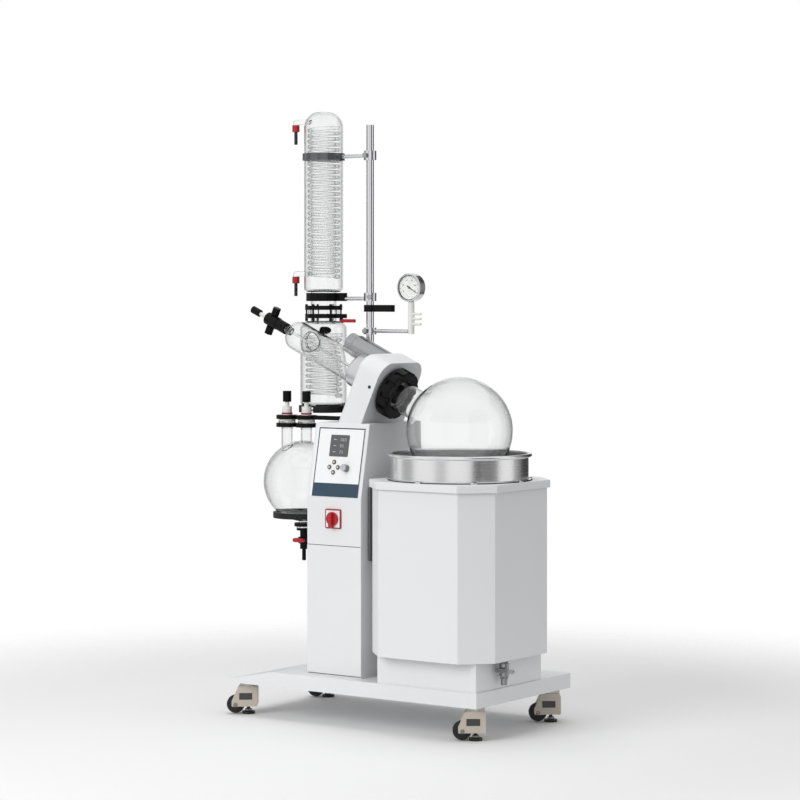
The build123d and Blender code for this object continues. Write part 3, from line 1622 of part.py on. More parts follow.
with BuildPart() as fork:
    body = outline(
        upright(0, 0),
        (-wheel_trail, housing_bottom),
        (housing_lead, housing_bottom),
        (housing_lead, housing_top),
        (-housing_lead, housing_top),
        (-wheel_trail - axle_boss, wheel_z + axle_boss),
        (-wheel_trail - axle_boss, housing_bottom),
        rounds=housing_rounds,
    )
    extrude(body, amount=housing_width / 2, both=True)
    with BuildSketch(upright(0, 0)):
        with Locations((-wheel_trail, wheel_z)):
            Circle(axle_boss)
    extrude(amount=housing_width / 2, both=True)
    with BuildSketch(upright(0, label_depth - housing_width / 2)):
        with Locations((-label_shift, label_z)):
            RectangleRounded(label_width, label_height, label_depth)
    extrude(amount=2 * label_depth, mode=Mode.SUBTRACT)
    with Locations((0, 0, housing_top - swivel_root)):
        Cylinder(swivel_radius, base_bottom - seat_gap - housing_top + swivel_root,
                 align=(Align.CENTER, Align.CENTER, Align.MIN))
    with Locations((0, 0, base_bottom - 2 * seat_gap)):
        Cylinder(kingpin_radius - run_gap, caster_plate + 2 * seat_gap,
                 align=(Align.CENTER, Align.CENTER, Align.MIN))
    with Locations((-wheel_trail, 0, 0)):
        Box(2 * (wheel_radius + wheel_clear), wheel_width + 2 * well_side, well_top,
            align=(Align.CENTER, Align.CENTER, Align.MIN), mode=Mode.SUBTRACT)
    with Locations((-wheel_trail, 0, wheel_z)):
        Cylinder(wheel_axle, housing_width - 2 * label_depth, rotation=(90, 0, 0))
    Cylinder(pad_stem + run_gap, pad_bore_top,
             align=(Align.CENTER, Align.CENTER, Align.MIN), mode=Mode.SUBTRACT)
    Cylinder(pad_radius, pad_height, align=(Align.CENTER, Align.CENTER, Align.MIN))
    Cylinder(pad_stem, pad_bore_top - seat_gap, align=(Align.CENTER, Align.CENTER, Align.MIN))

with BuildPart() as wheel:
    with Locations((-wheel_trail, 0, wheel_z)):
        Cylinder(wheel_radius, wheel_width, rotation=(90, 0, 0))
    fillet(wheel.edges().filter_by(GeomType.CIRCLE), wheel_round)
    with Locations((-wheel_trail, 0, wheel_z)):
        Cylinder(wheel_axle + run_gap, 2 * wheel_width, rotation=(90, 0, 0), mode=Mode.SUBTRACT)

for (spot_x, spot_y), corner in zip(caster_spots, caster_names):
    stand = Pos(spot_x, spot_y, 0) * Rot(0, 0, caster_yaw)
    finish(stand * fork.part, f"caster_{corner}")
    finish(stand * wheel.part, f"wheel_{corner}")
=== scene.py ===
"""Finishes, small fittings, light and camera for a floor-standing rotary evaporator."""

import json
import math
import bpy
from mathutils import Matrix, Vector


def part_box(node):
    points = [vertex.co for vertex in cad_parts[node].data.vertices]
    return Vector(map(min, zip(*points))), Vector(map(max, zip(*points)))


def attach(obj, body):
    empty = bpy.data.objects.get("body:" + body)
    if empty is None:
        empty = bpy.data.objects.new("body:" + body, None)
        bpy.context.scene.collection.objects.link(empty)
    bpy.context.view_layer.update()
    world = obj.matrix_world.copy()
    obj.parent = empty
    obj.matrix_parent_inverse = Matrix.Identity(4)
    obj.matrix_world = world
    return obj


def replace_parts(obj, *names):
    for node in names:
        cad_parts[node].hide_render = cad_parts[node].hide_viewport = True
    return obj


bl_info = {
    "name": "Rotary evaporator finishes",
    "version": (1, 0, 0),
    "blender": (4, 5, 0),
    "location": "View3D > Sidebar > Evaporator",
    "description": "Finishes, small fittings and a studio for a rotary evaporator",
    "category": "Object",
}

import bmesh
import bpy
from bpy.props import FloatProperty, FloatVectorProperty, IntProperty, PointerProperty
from mathutils import Matrix, Vector

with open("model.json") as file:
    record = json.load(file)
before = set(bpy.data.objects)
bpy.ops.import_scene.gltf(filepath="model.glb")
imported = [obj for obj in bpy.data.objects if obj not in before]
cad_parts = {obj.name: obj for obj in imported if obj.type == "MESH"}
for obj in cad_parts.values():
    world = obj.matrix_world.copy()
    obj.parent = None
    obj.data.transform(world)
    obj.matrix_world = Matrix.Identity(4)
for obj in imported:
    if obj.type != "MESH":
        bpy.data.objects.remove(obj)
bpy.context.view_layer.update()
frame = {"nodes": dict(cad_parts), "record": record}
nodes = frame["nodes"]
joints = {joint["name"]: joint for joint in frame["record"]["behaviour"]["joints"]}


def srgb(red, green, blue):
    """Linear colour of an 8-bit screen colour."""
    def linear(value):
        value /= 255
        return value / 12.92 if value <= 0.04045 else ((value + 0.055) / 1.055) ** 2.4
    return linear(red), linear(green), linear(blue)


def middle(node):
    """Centre of a CAD node's box."""
    low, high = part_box(node)
    return (low + high) / 2


# User settings


def colour_setting(name, words, default):
    """Colour property with a name and a description."""
    return FloatVectorProperty(name=name, description=words, subtype="COLOR", size=3, min=0, max=1, default=default)


def length_setting(name, words, default):
    """Length property in metres."""
    return FloatProperty(name=name, description=words, unit="LENGTH", min=0, default=default, precision=4)


class FinishSettings(bpy.types.PropertyGroup):
    """Colours of the machine's finishes."""
    coat: colour_setting("Coat", "Powder coat of the cabinet, head and bath", srgb(235, 236, 238))
    black: colour_setting("Black", "Moulded black of the caps and clamps", srgb(15, 15, 16))
    red: colour_setting("Red", "Red of the isolator and screw caps", srgb(172, 30, 36))
    band: colour_setting("Band", "Printed band and border of the control panel", srgb(44, 69, 86))
    caster: colour_setting("Caster", "Moulded caster housings", srgb(196, 186, 174))
    steel: colour_setting("Steel", "Brushed stainless steel of the pan", srgb(232, 232, 233))
    bronze: colour_setting("Buttons", "Dome buttons", srgb(74, 66, 58))
    glass: colour_setting("Glass", "Tint of the borosilicate glass", (0.951, 0.954, 0.954))


class DetailSettings(bpy.types.PropertyGroup):
    """Sizes of the fittings that are added to the CAD model."""
    clip_count: IntProperty(name="Pan clips", description="Clips round the foot of the pan", min=3, max=24, default=8)
    clip_width: length_setting("Clip width", "Width of a pan clip", 0.022)
    clip_height: length_setting("Clip height", "Height of a pan clip above the lid", 0.0065)
    dial_radius: length_setting("Dial radius", "Radius of the gauge's white dial", 0.0435)
    border_inset: length_setting("Border inset", "Panel edge to the printed border", 0.0005)
    border_width: length_setting("Border width", "Width of the printed border", 0.0042)
    border_left: length_setting("Left margin", "Bare strip of the panel left of the border", 0.008)
    band_height: length_setting("Band height", "Height of the printed band", 0.046)
    joint_band: length_setting("Ground joint", "Height of a frosted joint band", 0.03)
    coil_tube: length_setting("Coil tube", "Radius of the coil's glass tube", 0.007)
    coil_pitch: length_setting("Coil pitch", "Rise of a coil in one turn", 0.0194)
    bolt_radius: length_setting("Bolt radius", "Radius of the clamp bolts", 0.003)
    bolt_circle: length_setting("Bolt circle", "Radius of the circle of clamp bolts", 0.061)
    screw_radius: length_setting("Screw radius", "Radius of the cover screws' heads", 0.005)


class StudioSettings(bpy.types.PropertyGroup):
    """Light, floor and camera."""
    key_power: FloatProperty(name="Key", description="Power of the front lamp", min=0, default=130, unit="POWER")
    top_power: FloatProperty(name="Top", description="Power of the overhead lamp", min=0, default=70, unit="POWER")
    sky: FloatProperty(name="Sky", description="Strength of the even light", min=0, default=0.5)
    floor: colour_setting("Floor", "Floor paper", (0.95, 0.95, 0.95))
    floor_fade: length_setting("Floor fade", "Where the floor starts to fade into the white background", 1.3)
    floor_end: length_setting("Floor end", "Where the floor has gone", 2.9)
    flag_distance: length_setting("Flag distance", "Bath's axis to the grey flags", 4.5)
    azimuth: FloatProperty(name="Azimuth", description="Camera's turn from the front", default=math.radians(35.5),
                           subtype="ANGLE")
    distance: length_setting("Distance", "Camera to the bath's axis", 8.608)
    sideways: length_setting("Sideways", "Bath's axis to the right of the camera's axis", 0.2085)
    height: length_setting("Height", "Camera above the floor", 1.438)
    lens: FloatProperty(name="Lens", description="Focal length in millimetres", min=1, default=116.3)


# Shared effects


def put(tree, socket, value):
    """Link an output to a socket, or set the socket to a fixed value."""
    if isinstance(value, bpy.types.NodeSocket):
        tree.links.new(value, socket)
    else:
        socket.default_value = value


def number(tree, operation, *values, clamp=False):
    """Math node; each value is a number or an output socket."""
    node = tree.nodes.new("ShaderNodeMath")
    node.operation = operation
    node.use_clamp = clamp
    for socket, value in zip(node.inputs, values):
        put(tree, socket, value)
    return node.outputs[0]


def vector(tree, operation, first, second=(0, 0, 0)):
    """Vector Math node on a socket and a socket or a fixed vector."""
    node = tree.nodes.new("ShaderNodeVectorMath")
    node.operation = operation
    put(tree, node.inputs[0], first)
    put(tree, node.inputs[1], second)
    return node.outputs["Value" if operation in {"DOT_PRODUCT", "LENGTH"} else "Vector"]


def position(tree):
    """Place on the surface in the part's own frame, in metres."""
    return tree.nodes.new("ShaderNodeTexCoord").outputs["Object"]


def noise(tree, scale, detail=2.0, roughness=0.5, stretch=None):
    """Noise over the surface; scale is a number or a socket, stretch a vector."""
    place = position(tree)
    if stretch is not None:
        place = vector(tree, "MULTIPLY", place, stretch)
    node = tree.nodes.new("ShaderNodeTexNoise")
    tree.links.new(place, node.inputs["Vector"])
    put(tree, node.inputs["Scale"], scale)
    node.inputs["Detail"].default_value = detail
    node.inputs["Roughness"].default_value = roughness
    return node.outputs["Fac"]


def spread(tree, value, low, high):
    """Map 0 to 1 onto low to high; both ends are numbers or sockets."""
    node = tree.nodes.new("ShaderNodeMapRange")
    tree.links.new(value, node.inputs["Value"])
    put(tree, node.inputs["To Min"], low)
    put(tree, node.inputs["To Max"], high)
    return node.outputs["Result"]


def step(tree, value, low, high):
    """Smooth mask that rises from 0 at low to 1 at high."""
    node = tree.nodes.new("ShaderNodeMapRange")
    node.interpolation_type = "SMOOTHSTEP"
    tree.links.new(value, node.inputs["Value"])
    node.inputs["From Min"].default_value = low
    node.inputs["From Max"].default_value = high
    return node.outputs["Result"]


def mix_colour(tree, mask, first, second):
    """Colour that goes from first to second with the mask; ends are colours or sockets."""
    node = tree.nodes.new("ShaderNodeMix")
    node.data_type = "RGBA"
    put(tree, node.inputs["Factor"], mask)
    for socket, end in ((node.inputs[6], first), (node.inputs[7], second)):
        put(tree, socket, end if isinstance(end, bpy.types.NodeSocket) else (*end, 1))
    return node.outputs[2]


def shade(tree, colour, value):
    """Colour scaled by a value."""
    node = tree.nodes.new("ShaderNodeMix")
    node.data_type = "RGBA"
    node.blend_type = "MULTIPLY"
    node.inputs["Factor"].default_value = 1
    tree.links.new(colour, node.inputs[6])
    tree.links.new(value, node.inputs[7])
    return node.outputs[2]


def effect(name, outputs, **inputs):
    """Empty shader node group with named sockets: its tree, what comes in and what goes out."""
    kinds = {"Color": "NodeSocketColor", "Dust": "NodeSocketColor", "Stretch": "NodeSocketVector"}
    tree = bpy.data.node_groups.new(name, "ShaderNodeTree")
    for socket_name, value in inputs.items():
        kind = kinds.get(socket_name, "NodeSocketFloat")
        tree.interface.new_socket(name=socket_name, in_out="INPUT", socket_type=kind).default_value = value
    for socket_name in outputs:
        kind = kinds.get(socket_name, "NodeSocketFloat")
        tree.interface.new_socket(name=socket_name, in_out="OUTPUT", socket_type=kind)
    return tree, tree.nodes.new("NodeGroupInput").outputs, tree.nodes.new("NodeGroupOutput").inputs


def lead_out(tree, outside, **results):
    """Link results to a node group's outputs."""
    for socket_name, result in results.items():
        tree.links.new(result, outside[socket_name])


skin_outputs = ("Color", "Roughness", "Height")


def duller(tree, mask, roughness, most):
    """Roughness that rises with a mask, by this much at most."""
    return spread(tree, mask, roughness, number(tree, "ADD", roughness, most))


def sprayed_coat():
    """Orange-peel and slight mottle of a baked powder coat."""
    tree, inside, outside = effect(
        "Sprayed coat", skin_outputs, Color=(0.8, 0.8, 0.8, 1), Grain=900.0, Mottle=0.02, Roughness=0.4,
    )
    low = number(tree, "SUBTRACT", 1.0, inside["Mottle"])
    lead_out(
        tree, outside,
        Color=shade(tree, inside["Color"], spread(tree, noise(tree, 5.0, 4.0), low, 1.0)),
        Roughness=duller(tree, noise(tree, 14.0, 3.0), inside["Roughness"], 0.1),
        Height=noise(tree, inside["Grain"], 2.0),
    )
    return tree


def brushed_grain():
    """Fine streaks of brushed or turned metal."""
    tree, inside, outside = effect(
        "Brushed grain", skin_outputs, Color=(0.7, 0.7, 0.7, 1), Stretch=(1, 1, 1), Roughness=0.25, Contrast=0.08,
    )
    streaks = noise(tree, 1.0, 6.0, 0.7, stretch=inside["Stretch"])
    low = number(tree, "SUBTRACT", 1.0, inside["Contrast"])
    lead_out(
        tree, outside,
        Color=shade(tree, inside["Color"], spread(tree, streaks, low, 1.0)),
        Roughness=duller(tree, streaks, inside["Roughness"], 0.12),
        Height=streaks,
    )
    return tree


def moulded_skin():
    """Fine spark-eroded skin of moulded plastic, duller where it is handled."""
    tree, inside, outside = effect(
        "Moulded skin", skin_outputs, Color=(0.1, 0.1, 0.1, 1), Grain=1400.0, Roughness=0.4, Bloom=0.1,
    )
    haze = noise(tree, 30.0, 4.0)
    high = number(tree, "ADD", 1.0, inside["Bloom"])
    lead_out(
        tree, outside,
        Color=shade(tree, inside["Color"], spread(tree, haze, 1.0, high)),
        Roughness=duller(tree, haze, inside["Roughness"], 0.15),
        Height=noise(tree, inside["Grain"], 1.0),
    )
    return tree


def settled_dust():
    """Thin film on faces that look up."""
    tree, inside, outside = effect(
        "Settled dust", ("Color",), Color=(0.1, 0.1, 0.1, 1), Dust=(0.6, 0.58, 0.55, 1), Amount=0.1,
    )
    normal = tree.nodes.new("ShaderNodeNewGeometry").outputs["Normal"]
    upwards = step(tree, vector(tree, "DOT_PRODUCT", normal, (0, 0, 1)), 0.5, 1.0)
    patchy = spread(tree, noise(tree, 60.0, 5.0), 0.4, 1.0)
    mask = number(tree, "MULTIPLY", number(tree, "MULTIPLY", upwards, patchy), inside["Amount"], clamp=True)
    lead_out(tree, outside, Color=mix_colour(tree, mask, inside["Color"], inside["Dust"]))
    return tree


def blown_glass():
    """Slow waves and faint smudges of blown glass."""
    tree, inside, outside = effect("Blown glass", ("Roughness", "Height"), Wave=9.0, Smudge=0.03)
    smear = step(tree, noise(tree, 22.0, 4.0), 0.5, 0.85)
    lead_out(
        tree, outside,
        Roughness=number(tree, "MULTIPLY", smear, inside["Smudge"]), Height=noise(tree, inside["Wave"], 1.0),
    )
    return tree


effects = {}


def shared(build):
    """Build a shared effect once."""
    if build not in effects:
        effects[build] = build()
    return effects[build]


# Materials


class Finish:
    """One material with its Principled shader, and short ways to feed it."""

    def __init__(self, name, **sockets):
        self.material = bpy.data.materials.new(name)
        self.material.use_nodes = True
        self.tree = self.material.node_tree
        self.shader = self.tree.nodes["Principled BSDF"]
        for socket_name, value in sockets.items():
            self.shader.inputs[socket_name.replace("_", " ")].default_value = value

    def effect(self, build, **values):
        """Place a shared effect with its own values."""
        node = self.tree.nodes.new("ShaderNodeGroup")
        node.node_tree = shared(build)
        for socket_name, value in values.items():
            colour = socket_name in {"Color", "Dust"} and not isinstance(value, bpy.types.NodeSocket)
            put(self.tree, node.inputs[socket_name], (*value, 1) if colour else value)
        return node.outputs

    def feed(self, socket_name, output):
        """Link an output to the shader."""
        self.tree.links.new(output, self.shader.inputs[socket_name])

    def bump(self, height, strength, distance=0.0002):
        """Bump the surface from a height."""
        node = self.tree.nodes.new("ShaderNodeBump")
        node.inputs["Strength"].default_value = strength
        node.inputs["Distance"].default_value = distance
        self.tree.links.new(height, node.inputs["Height"])
        self.feed("Normal", node.outputs["Normal"])

    def surface(self, colour, skin, strength, distance=0.0002):
        """Feed a colour, and the roughness and bumps of a shared effect."""
        self.feed("Base Color", colour)
        self.feed("Roughness", skin["Roughness"])
        self.bump(skin["Height"], strength, distance)

    def along(self, origin, direction):
        """Distance of the surface from a point along a direction, in metres."""
        offset = vector(self.tree, "SUBTRACT", position(self.tree), origin)
        return vector(self.tree, "DOT_PRODUCT", offset, direction)

    def from_axis(self, origin, direction=(0, 0, 1)):
        """Distance of the surface from an axis through a point, in metres."""
        offset = vector(self.tree, "SUBTRACT", position(self.tree), origin)
        return vector(self.tree, "LENGTH", vector(self.tree, "CROSS_PRODUCT", offset, direction))


# Bump distance of metal grain and of waves in glass, in metres
grain_depth = 0.0001
wave_depth = 0.002


def coat_finish(name, colour, roughness=0.38, grain=900.0):
    """Powder coat with a little dust on its top faces."""
    finish = Finish(name, Specular_IOR_Level=0.45, Coat_Weight=0.15, Coat_Roughness=0.3)
    coat = finish.effect(sprayed_coat, Color=colour, Grain=grain, Mottle=0.025, Roughness=roughness)
    dust = finish.effect(settled_dust, Color=coat["Color"], Dust=srgb(214, 210, 203), Amount=0.08)
    finish.surface(dust["Color"], coat, 0.12)
    return finish


def metal_finish(name, colour, stretch, roughness, contrast=0.08, depth=0.15):
    """Bare metal with streaks along its working direction."""
    finish = Finish(name, Metallic=1.0)
    grain = finish.effect(brushed_grain, Color=colour, Stretch=stretch, Roughness=roughness, Contrast=contrast)
    finish.surface(grain["Color"], grain, depth, grain_depth)
    return finish


def plastic_finish(name, colour, roughness=0.38, grain=1400.0, dust=0.08, depth=0.15, shine=0.5):
    """Moulded plastic with a fine skin and a little dust."""
    finish = Finish(name, Specular_IOR_Level=shine)
    skin = finish.effect(moulded_skin, Color=colour, Grain=grain, Roughness=roughness, Bloom=0.12)
    film = finish.effect(settled_dust, Color=skin["Color"], Amount=dust)
    finish.surface(film["Color"], skin, depth)
    return finish


def moulded(name, shine, colour, grain, roughness, bloom):
    """Moulded finish that a mask is still to be painted on: the finish, its tree and its skin."""
    finish = Finish(name, Specular_IOR_Level=shine)
    skin = finish.effect(moulded_skin, Color=colour, Grain=grain, Roughness=roughness, Bloom=bloom)
    return finish, finish.tree, skin


def painted_rim_mask(tree, sharpness):
    """Mask for painted shade that rises to one where the surface turns away from the eye."""
    edge = tree.nodes.new("ShaderNodeLayerWeight")
    edge.inputs["Blend"].default_value = 0.5
    return number(tree, "POWER", edge.outputs["Facing"], sharpness)


def glass_finish(name, tint, smudge=0.03):
    """Clear glass with painted shade where it turns away, that lets light through to what is behind it."""
    finish = Finish(name, Transmission_Weight=1.0, IOR=1.47)
    blown = finish.effect(blown_glass, Smudge=smudge)
    tree = finish.tree
    # Painted shade: the glass's colour goes dark grey where the surface turns away from the eye.
    finish.surface(mix_colour(tree, painted_rim_mask(tree, 3.5), tint, srgb(60, 64, 66)), blown, 0.02, wave_depth)
    clear = tree.nodes.new("ShaderNodeBsdfTransparent")
    clear.inputs["Color"].default_value = (0.93, 0.95, 0.95, 1)
    path = tree.nodes.new("ShaderNodeLightPath")
    blend = tree.nodes.new("ShaderNodeMixShader")
    tree.links.new(path.outputs["Is Shadow Ray"], blend.inputs["Fac"])
    tree.links.new(finish.shader.outputs["BSDF"], blend.inputs[1])
    tree.links.new(clear.outputs["BSDF"], blend.inputs[2])
    tree.links.new(blend.outputs["Shader"], tree.nodes["Material Output"].inputs["Surface"])
    return finish


def dress(finish, *names):
    """Give CAD nodes a finish."""
    for name in names:
        mesh = nodes[name].data
        mesh.materials.clear()
        mesh.materials.append(finish.material)


# Mesh helpers


def shape(name, finish, build):
    """New object with a finish, whose mesh is filled by build(bm)."""
    mesh = bpy.data.meshes.new(name)
    bm = bmesh.new()
    build(bm)
    bm.to_mesh(mesh)
    bm.free()
    mesh.materials.append(finish.material)
    thing = bpy.data.objects.new(name, mesh)
    bpy.context.scene.collection.objects.link(thing)
    return thing


def piece(name, body, finish, build, bevel=0.0, smooth=True):
    """New object riding on a body, its edges bevelled or smoothed where they are sharp."""
    crease = 0.6

    def whole(bm):
        build(bm)
        bmesh.ops.recalc_face_normals(bm, faces=bm.faces[:])
        if bevel:
            sharp = [edge for edge in bm.edges if edge.is_manifold and edge.calc_face_angle() > crease]
            bmesh.ops.bevel(bm, geom=sharp, offset=bevel, segments=2, affect="EDGES", profile=0.5)

    thing = shape(name, finish, whole)
    if smooth:
        mesh = thing.data
        mesh.polygons.foreach_set("use_smooth", [True] * len(mesh.polygons))
        mesh.set_sharp_from_angle(angle=crease)
    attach(thing, body)
    return thing


def turned(bm, profile, place, axis=(0, 0, 1), segments=48):
    """Revolve a closed profile of (radius, height) points about an axis through a place."""
    turn = Vector((0, 0, 1)).rotation_difference(Vector(axis)).to_matrix().to_4x4()
    where = Matrix.Translation(place) @ turn
    rings = []
    for index in range(segments):
        angle = 2 * math.pi * index / segments
        ring = [bm.verts.new(where @ Vector((r * math.cos(angle), r * math.sin(angle), h))) for r, h in profile]
        rings.append(ring)
    for index, ring in enumerate(rings):
        after = rings[(index + 1) % segments]
        for corner in range(len(profile)):
            bm.faces.new((ring[corner - 1], ring[corner], after[corner], after[corner - 1]))
    bmesh.ops.remove_doubles(bm, verts=bm.verts[:], dist=1e-7)


def block(bm, size, where):
    """Box of a size at a matrix."""
    bmesh.ops.create_cube(bm, size=1, matrix=where @ Matrix.Diagonal((*size, 1)))


def tube(bm, points, radius, sides=12):
    """Round tube along a path of points."""
    rings = []
    for index, point in enumerate(points):
        ahead = points[min(index + 1, len(points) - 1)] - points[max(index - 1, 0)]
        side = ahead.cross(Vector((0, 0, 1))).normalized()
        up = side.cross(ahead).normalized()
        turns = [2 * math.pi * corner / sides for corner in range(sides)]
        rings.append([bm.verts.new(point + radius * (math.cos(t) * side + math.sin(t) * up)) for t in turns])
    for ring, after in zip(rings, rings[1:]):
        for corner in range(sides):
            bm.faces.new((ring[corner - 1], ring[corner], after[corner], after[corner - 1]))
    bm.faces.new(rings[0])
    bm.faces.new(rings[-1])


def screw(bm, place, axis, radius, height):
    """Domed screw head with a round socket, standing on a surface."""
    profile = (
        (0, 0), (radius, 0), (radius, 0.5 * height), (0.85 * radius, 0.85 * height), (0.5 * radius, height),
        (0.45 * radius, 0.4 * height), (0, 0.4 * height),
    )
    turned(bm, profile, place, axis, 24)


def bar(bm, place, axis, radius, length, sides=6):
    """Straight prism with chamfered ends, hexagonal unless told otherwise."""
    edge = 0.15 * radius
    inner = radius - edge
    profile = ((0, 0), (inner, 0), (radius, edge), (radius, length - edge), (inner, length), (0, length))
    turned(bm, profile, place, axis, sides)


def write(bm, word, where, pitch, reach, lying, standing):
    """Numerals of seven strokes in the plane of a matrix, with the sizes of a lying and a standing stroke."""
    for column, numeral in enumerate(word):
        for stroke in numerals[numeral]:
            across, up, lies = strokes[stroke]
            spot = Matrix.Translation((column * pitch + across * reach[0], up * reach[1], 0))
            block(bm, lying if lies else standing, where @ spot)


def on_axis(along, side=0.0, above=0.0):
    """Point in the slanted frame of the flask: along its axis, to the back and upwards from it."""
    hinge = joints["flask_spin"]
    direction = Vector(hinge["axis"])
    up = Vector((-direction.z * direction.x, 0, 1 - direction.z ** 2)).normalized()
    return Vector(hinge["pos_m"]) + along * direction + side * Vector((0, 1, 0)) + above * up


def condenser_axis():
    """Point on the floor under the condensers."""
    return Vector((middle("lower_condenser").x, middle("upper_condenser").y, 0))


# Cards round the set: angle from the camera and half width in degrees, brightness, and whether they are seen only
# through glass or only as reflections
flags = (
    (27, 8, 0.06, False), (50, 14, 0.2, False), (-32, 9, 0.6, False), (108, 10, 0.3, False), (140, 22, 0.03, False),
    (-97, 14, 0.45, False), (-148, 22, 0.3, False), (130, 25, 0.45, True), (-127, 22, 0.45, True),
)

# Coils: radius, foot, turns and inside radius of their barrel
coils = ((0.051, 1.512, 27, 0.0645), (0.057, 1.094, 11, 0.0775))

# Clamping screws on the rod: height and direction
rod_screws = ((1.323, (0, -1, 0)), (1.4415, (0.5, -0.866, 0)), (1.9345, (0, -1, 0)))

# Strokes of a seven-stroke numeral: middle across and up, and whether it lies flat
strokes = {
    "a": (0, 2, True), "b": (1, 1, False), "c": (1, -1, False), "d": (0, -2, True), "e": (-1, -1, False),
    "f": (-1, 1, False), "g": (0, 0, True),
}

# Strokes of each numeral in use
numerals = {
    "0": "abcdef", "1": "bc", "2": "abged", "4": "fgbc", "5": "afgcd", "6": "afgedc", "8": "abcdefg",
}


# Operators


class EVAPORATOR_OT_coat(bpy.types.Operator):
    """Powder coat on the base, cabinet, head and bath"""
    bl_idname = "evaporator.coat"
    bl_label = "Powder coat"

    def execute(self, context):
        """Coat the sheet metal and the casting."""
        colours = context.scene.evaporator_finish
        sheet = coat_finish("powder coat", colours.coat)
        dress(sheet, "base_frame", "plinth_cover", "column_cabinet", "column_front", "console_housing")
        dress(sheet, "bath_housing", "bath_lid")
        cast = coat_finish("coated casting", colours.coat, 0.42, 520.0)
        dress(cast, "head_housing", "bearing_cover")
        return {"FINISHED"}


class EVAPORATOR_OT_pan(bpy.types.Operator):
    """Brushed pan with clips and a dark ring of painted shade round its foot, and its heater"""
    bl_idname = "evaporator.pan"
    bl_label = "Bath pan"

    def execute(self, context):
        """Brush the pan and clip it to the lid."""
        colours = context.scene.evaporator_finish
        sizes = context.scene.evaporator_details
        dress(metal_finish("brushed stainless", colours.steel, (3, 3, 900), 0.2, 0.1, 0.1), "bath_pan")
        dress(metal_finish("raw heater plate", srgb(96, 92, 88), (300, 300, 300), 0.5), "pan_heater")
        centre = middle("bath_pan")
        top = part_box("bath_lid")[1].z
        bright = metal_finish("bright clip", srgb(232, 232, 234), (200, 200, 200), 0.16)
        foot = 0.240
        strip = 0.002
        tab_length, tab_in, leg_out = 0.014, 0.002, 0.004
        shade_ring_in, shade_ring_out, shade_ring_bulge = foot - 0.001, foot + 0.0022, foot + 0.0028
        shade_ring_height, bulge_height = 0.003, 0.0008

        def clips(bm):
            for index in range(sizes.clip_count):
                turn = Matrix.Rotation(2 * math.pi * index / sizes.clip_count, 4, "Z")
                where = Matrix.Translation((centre.x, centre.y, top)) @ turn
                high = sizes.clip_height
                tab = where @ Matrix.Translation((foot - tab_in, 0, high - strip / 2))
                block(bm, (tab_length, sizes.clip_width, strip), tab)
                leg = where @ Matrix.Translation((foot + leg_out, 0, high / 2))
                block(bm, (strip, sizes.clip_width, high), leg)

        # Dark ring of painted shade where the pan meets the lid.
        def seal(bm):
            profile = (
                (shade_ring_in, 0), (shade_ring_out, 0), (shade_ring_bulge, bulge_height), (shade_ring_out, shade_ring_height),
                (shade_ring_in, shade_ring_height),
            )
            turned(bm, profile, (centre.x, centre.y, top), segments=96)

        piece("pan_clips", "bath", bright, clips, bevel=0.0005)
        piece("pan_foot_shade", "bath", plastic_finish("painted foot shade", srgb(20, 20, 20), 0.5, shine=0.2), seal)
        return {"FINISHED"}


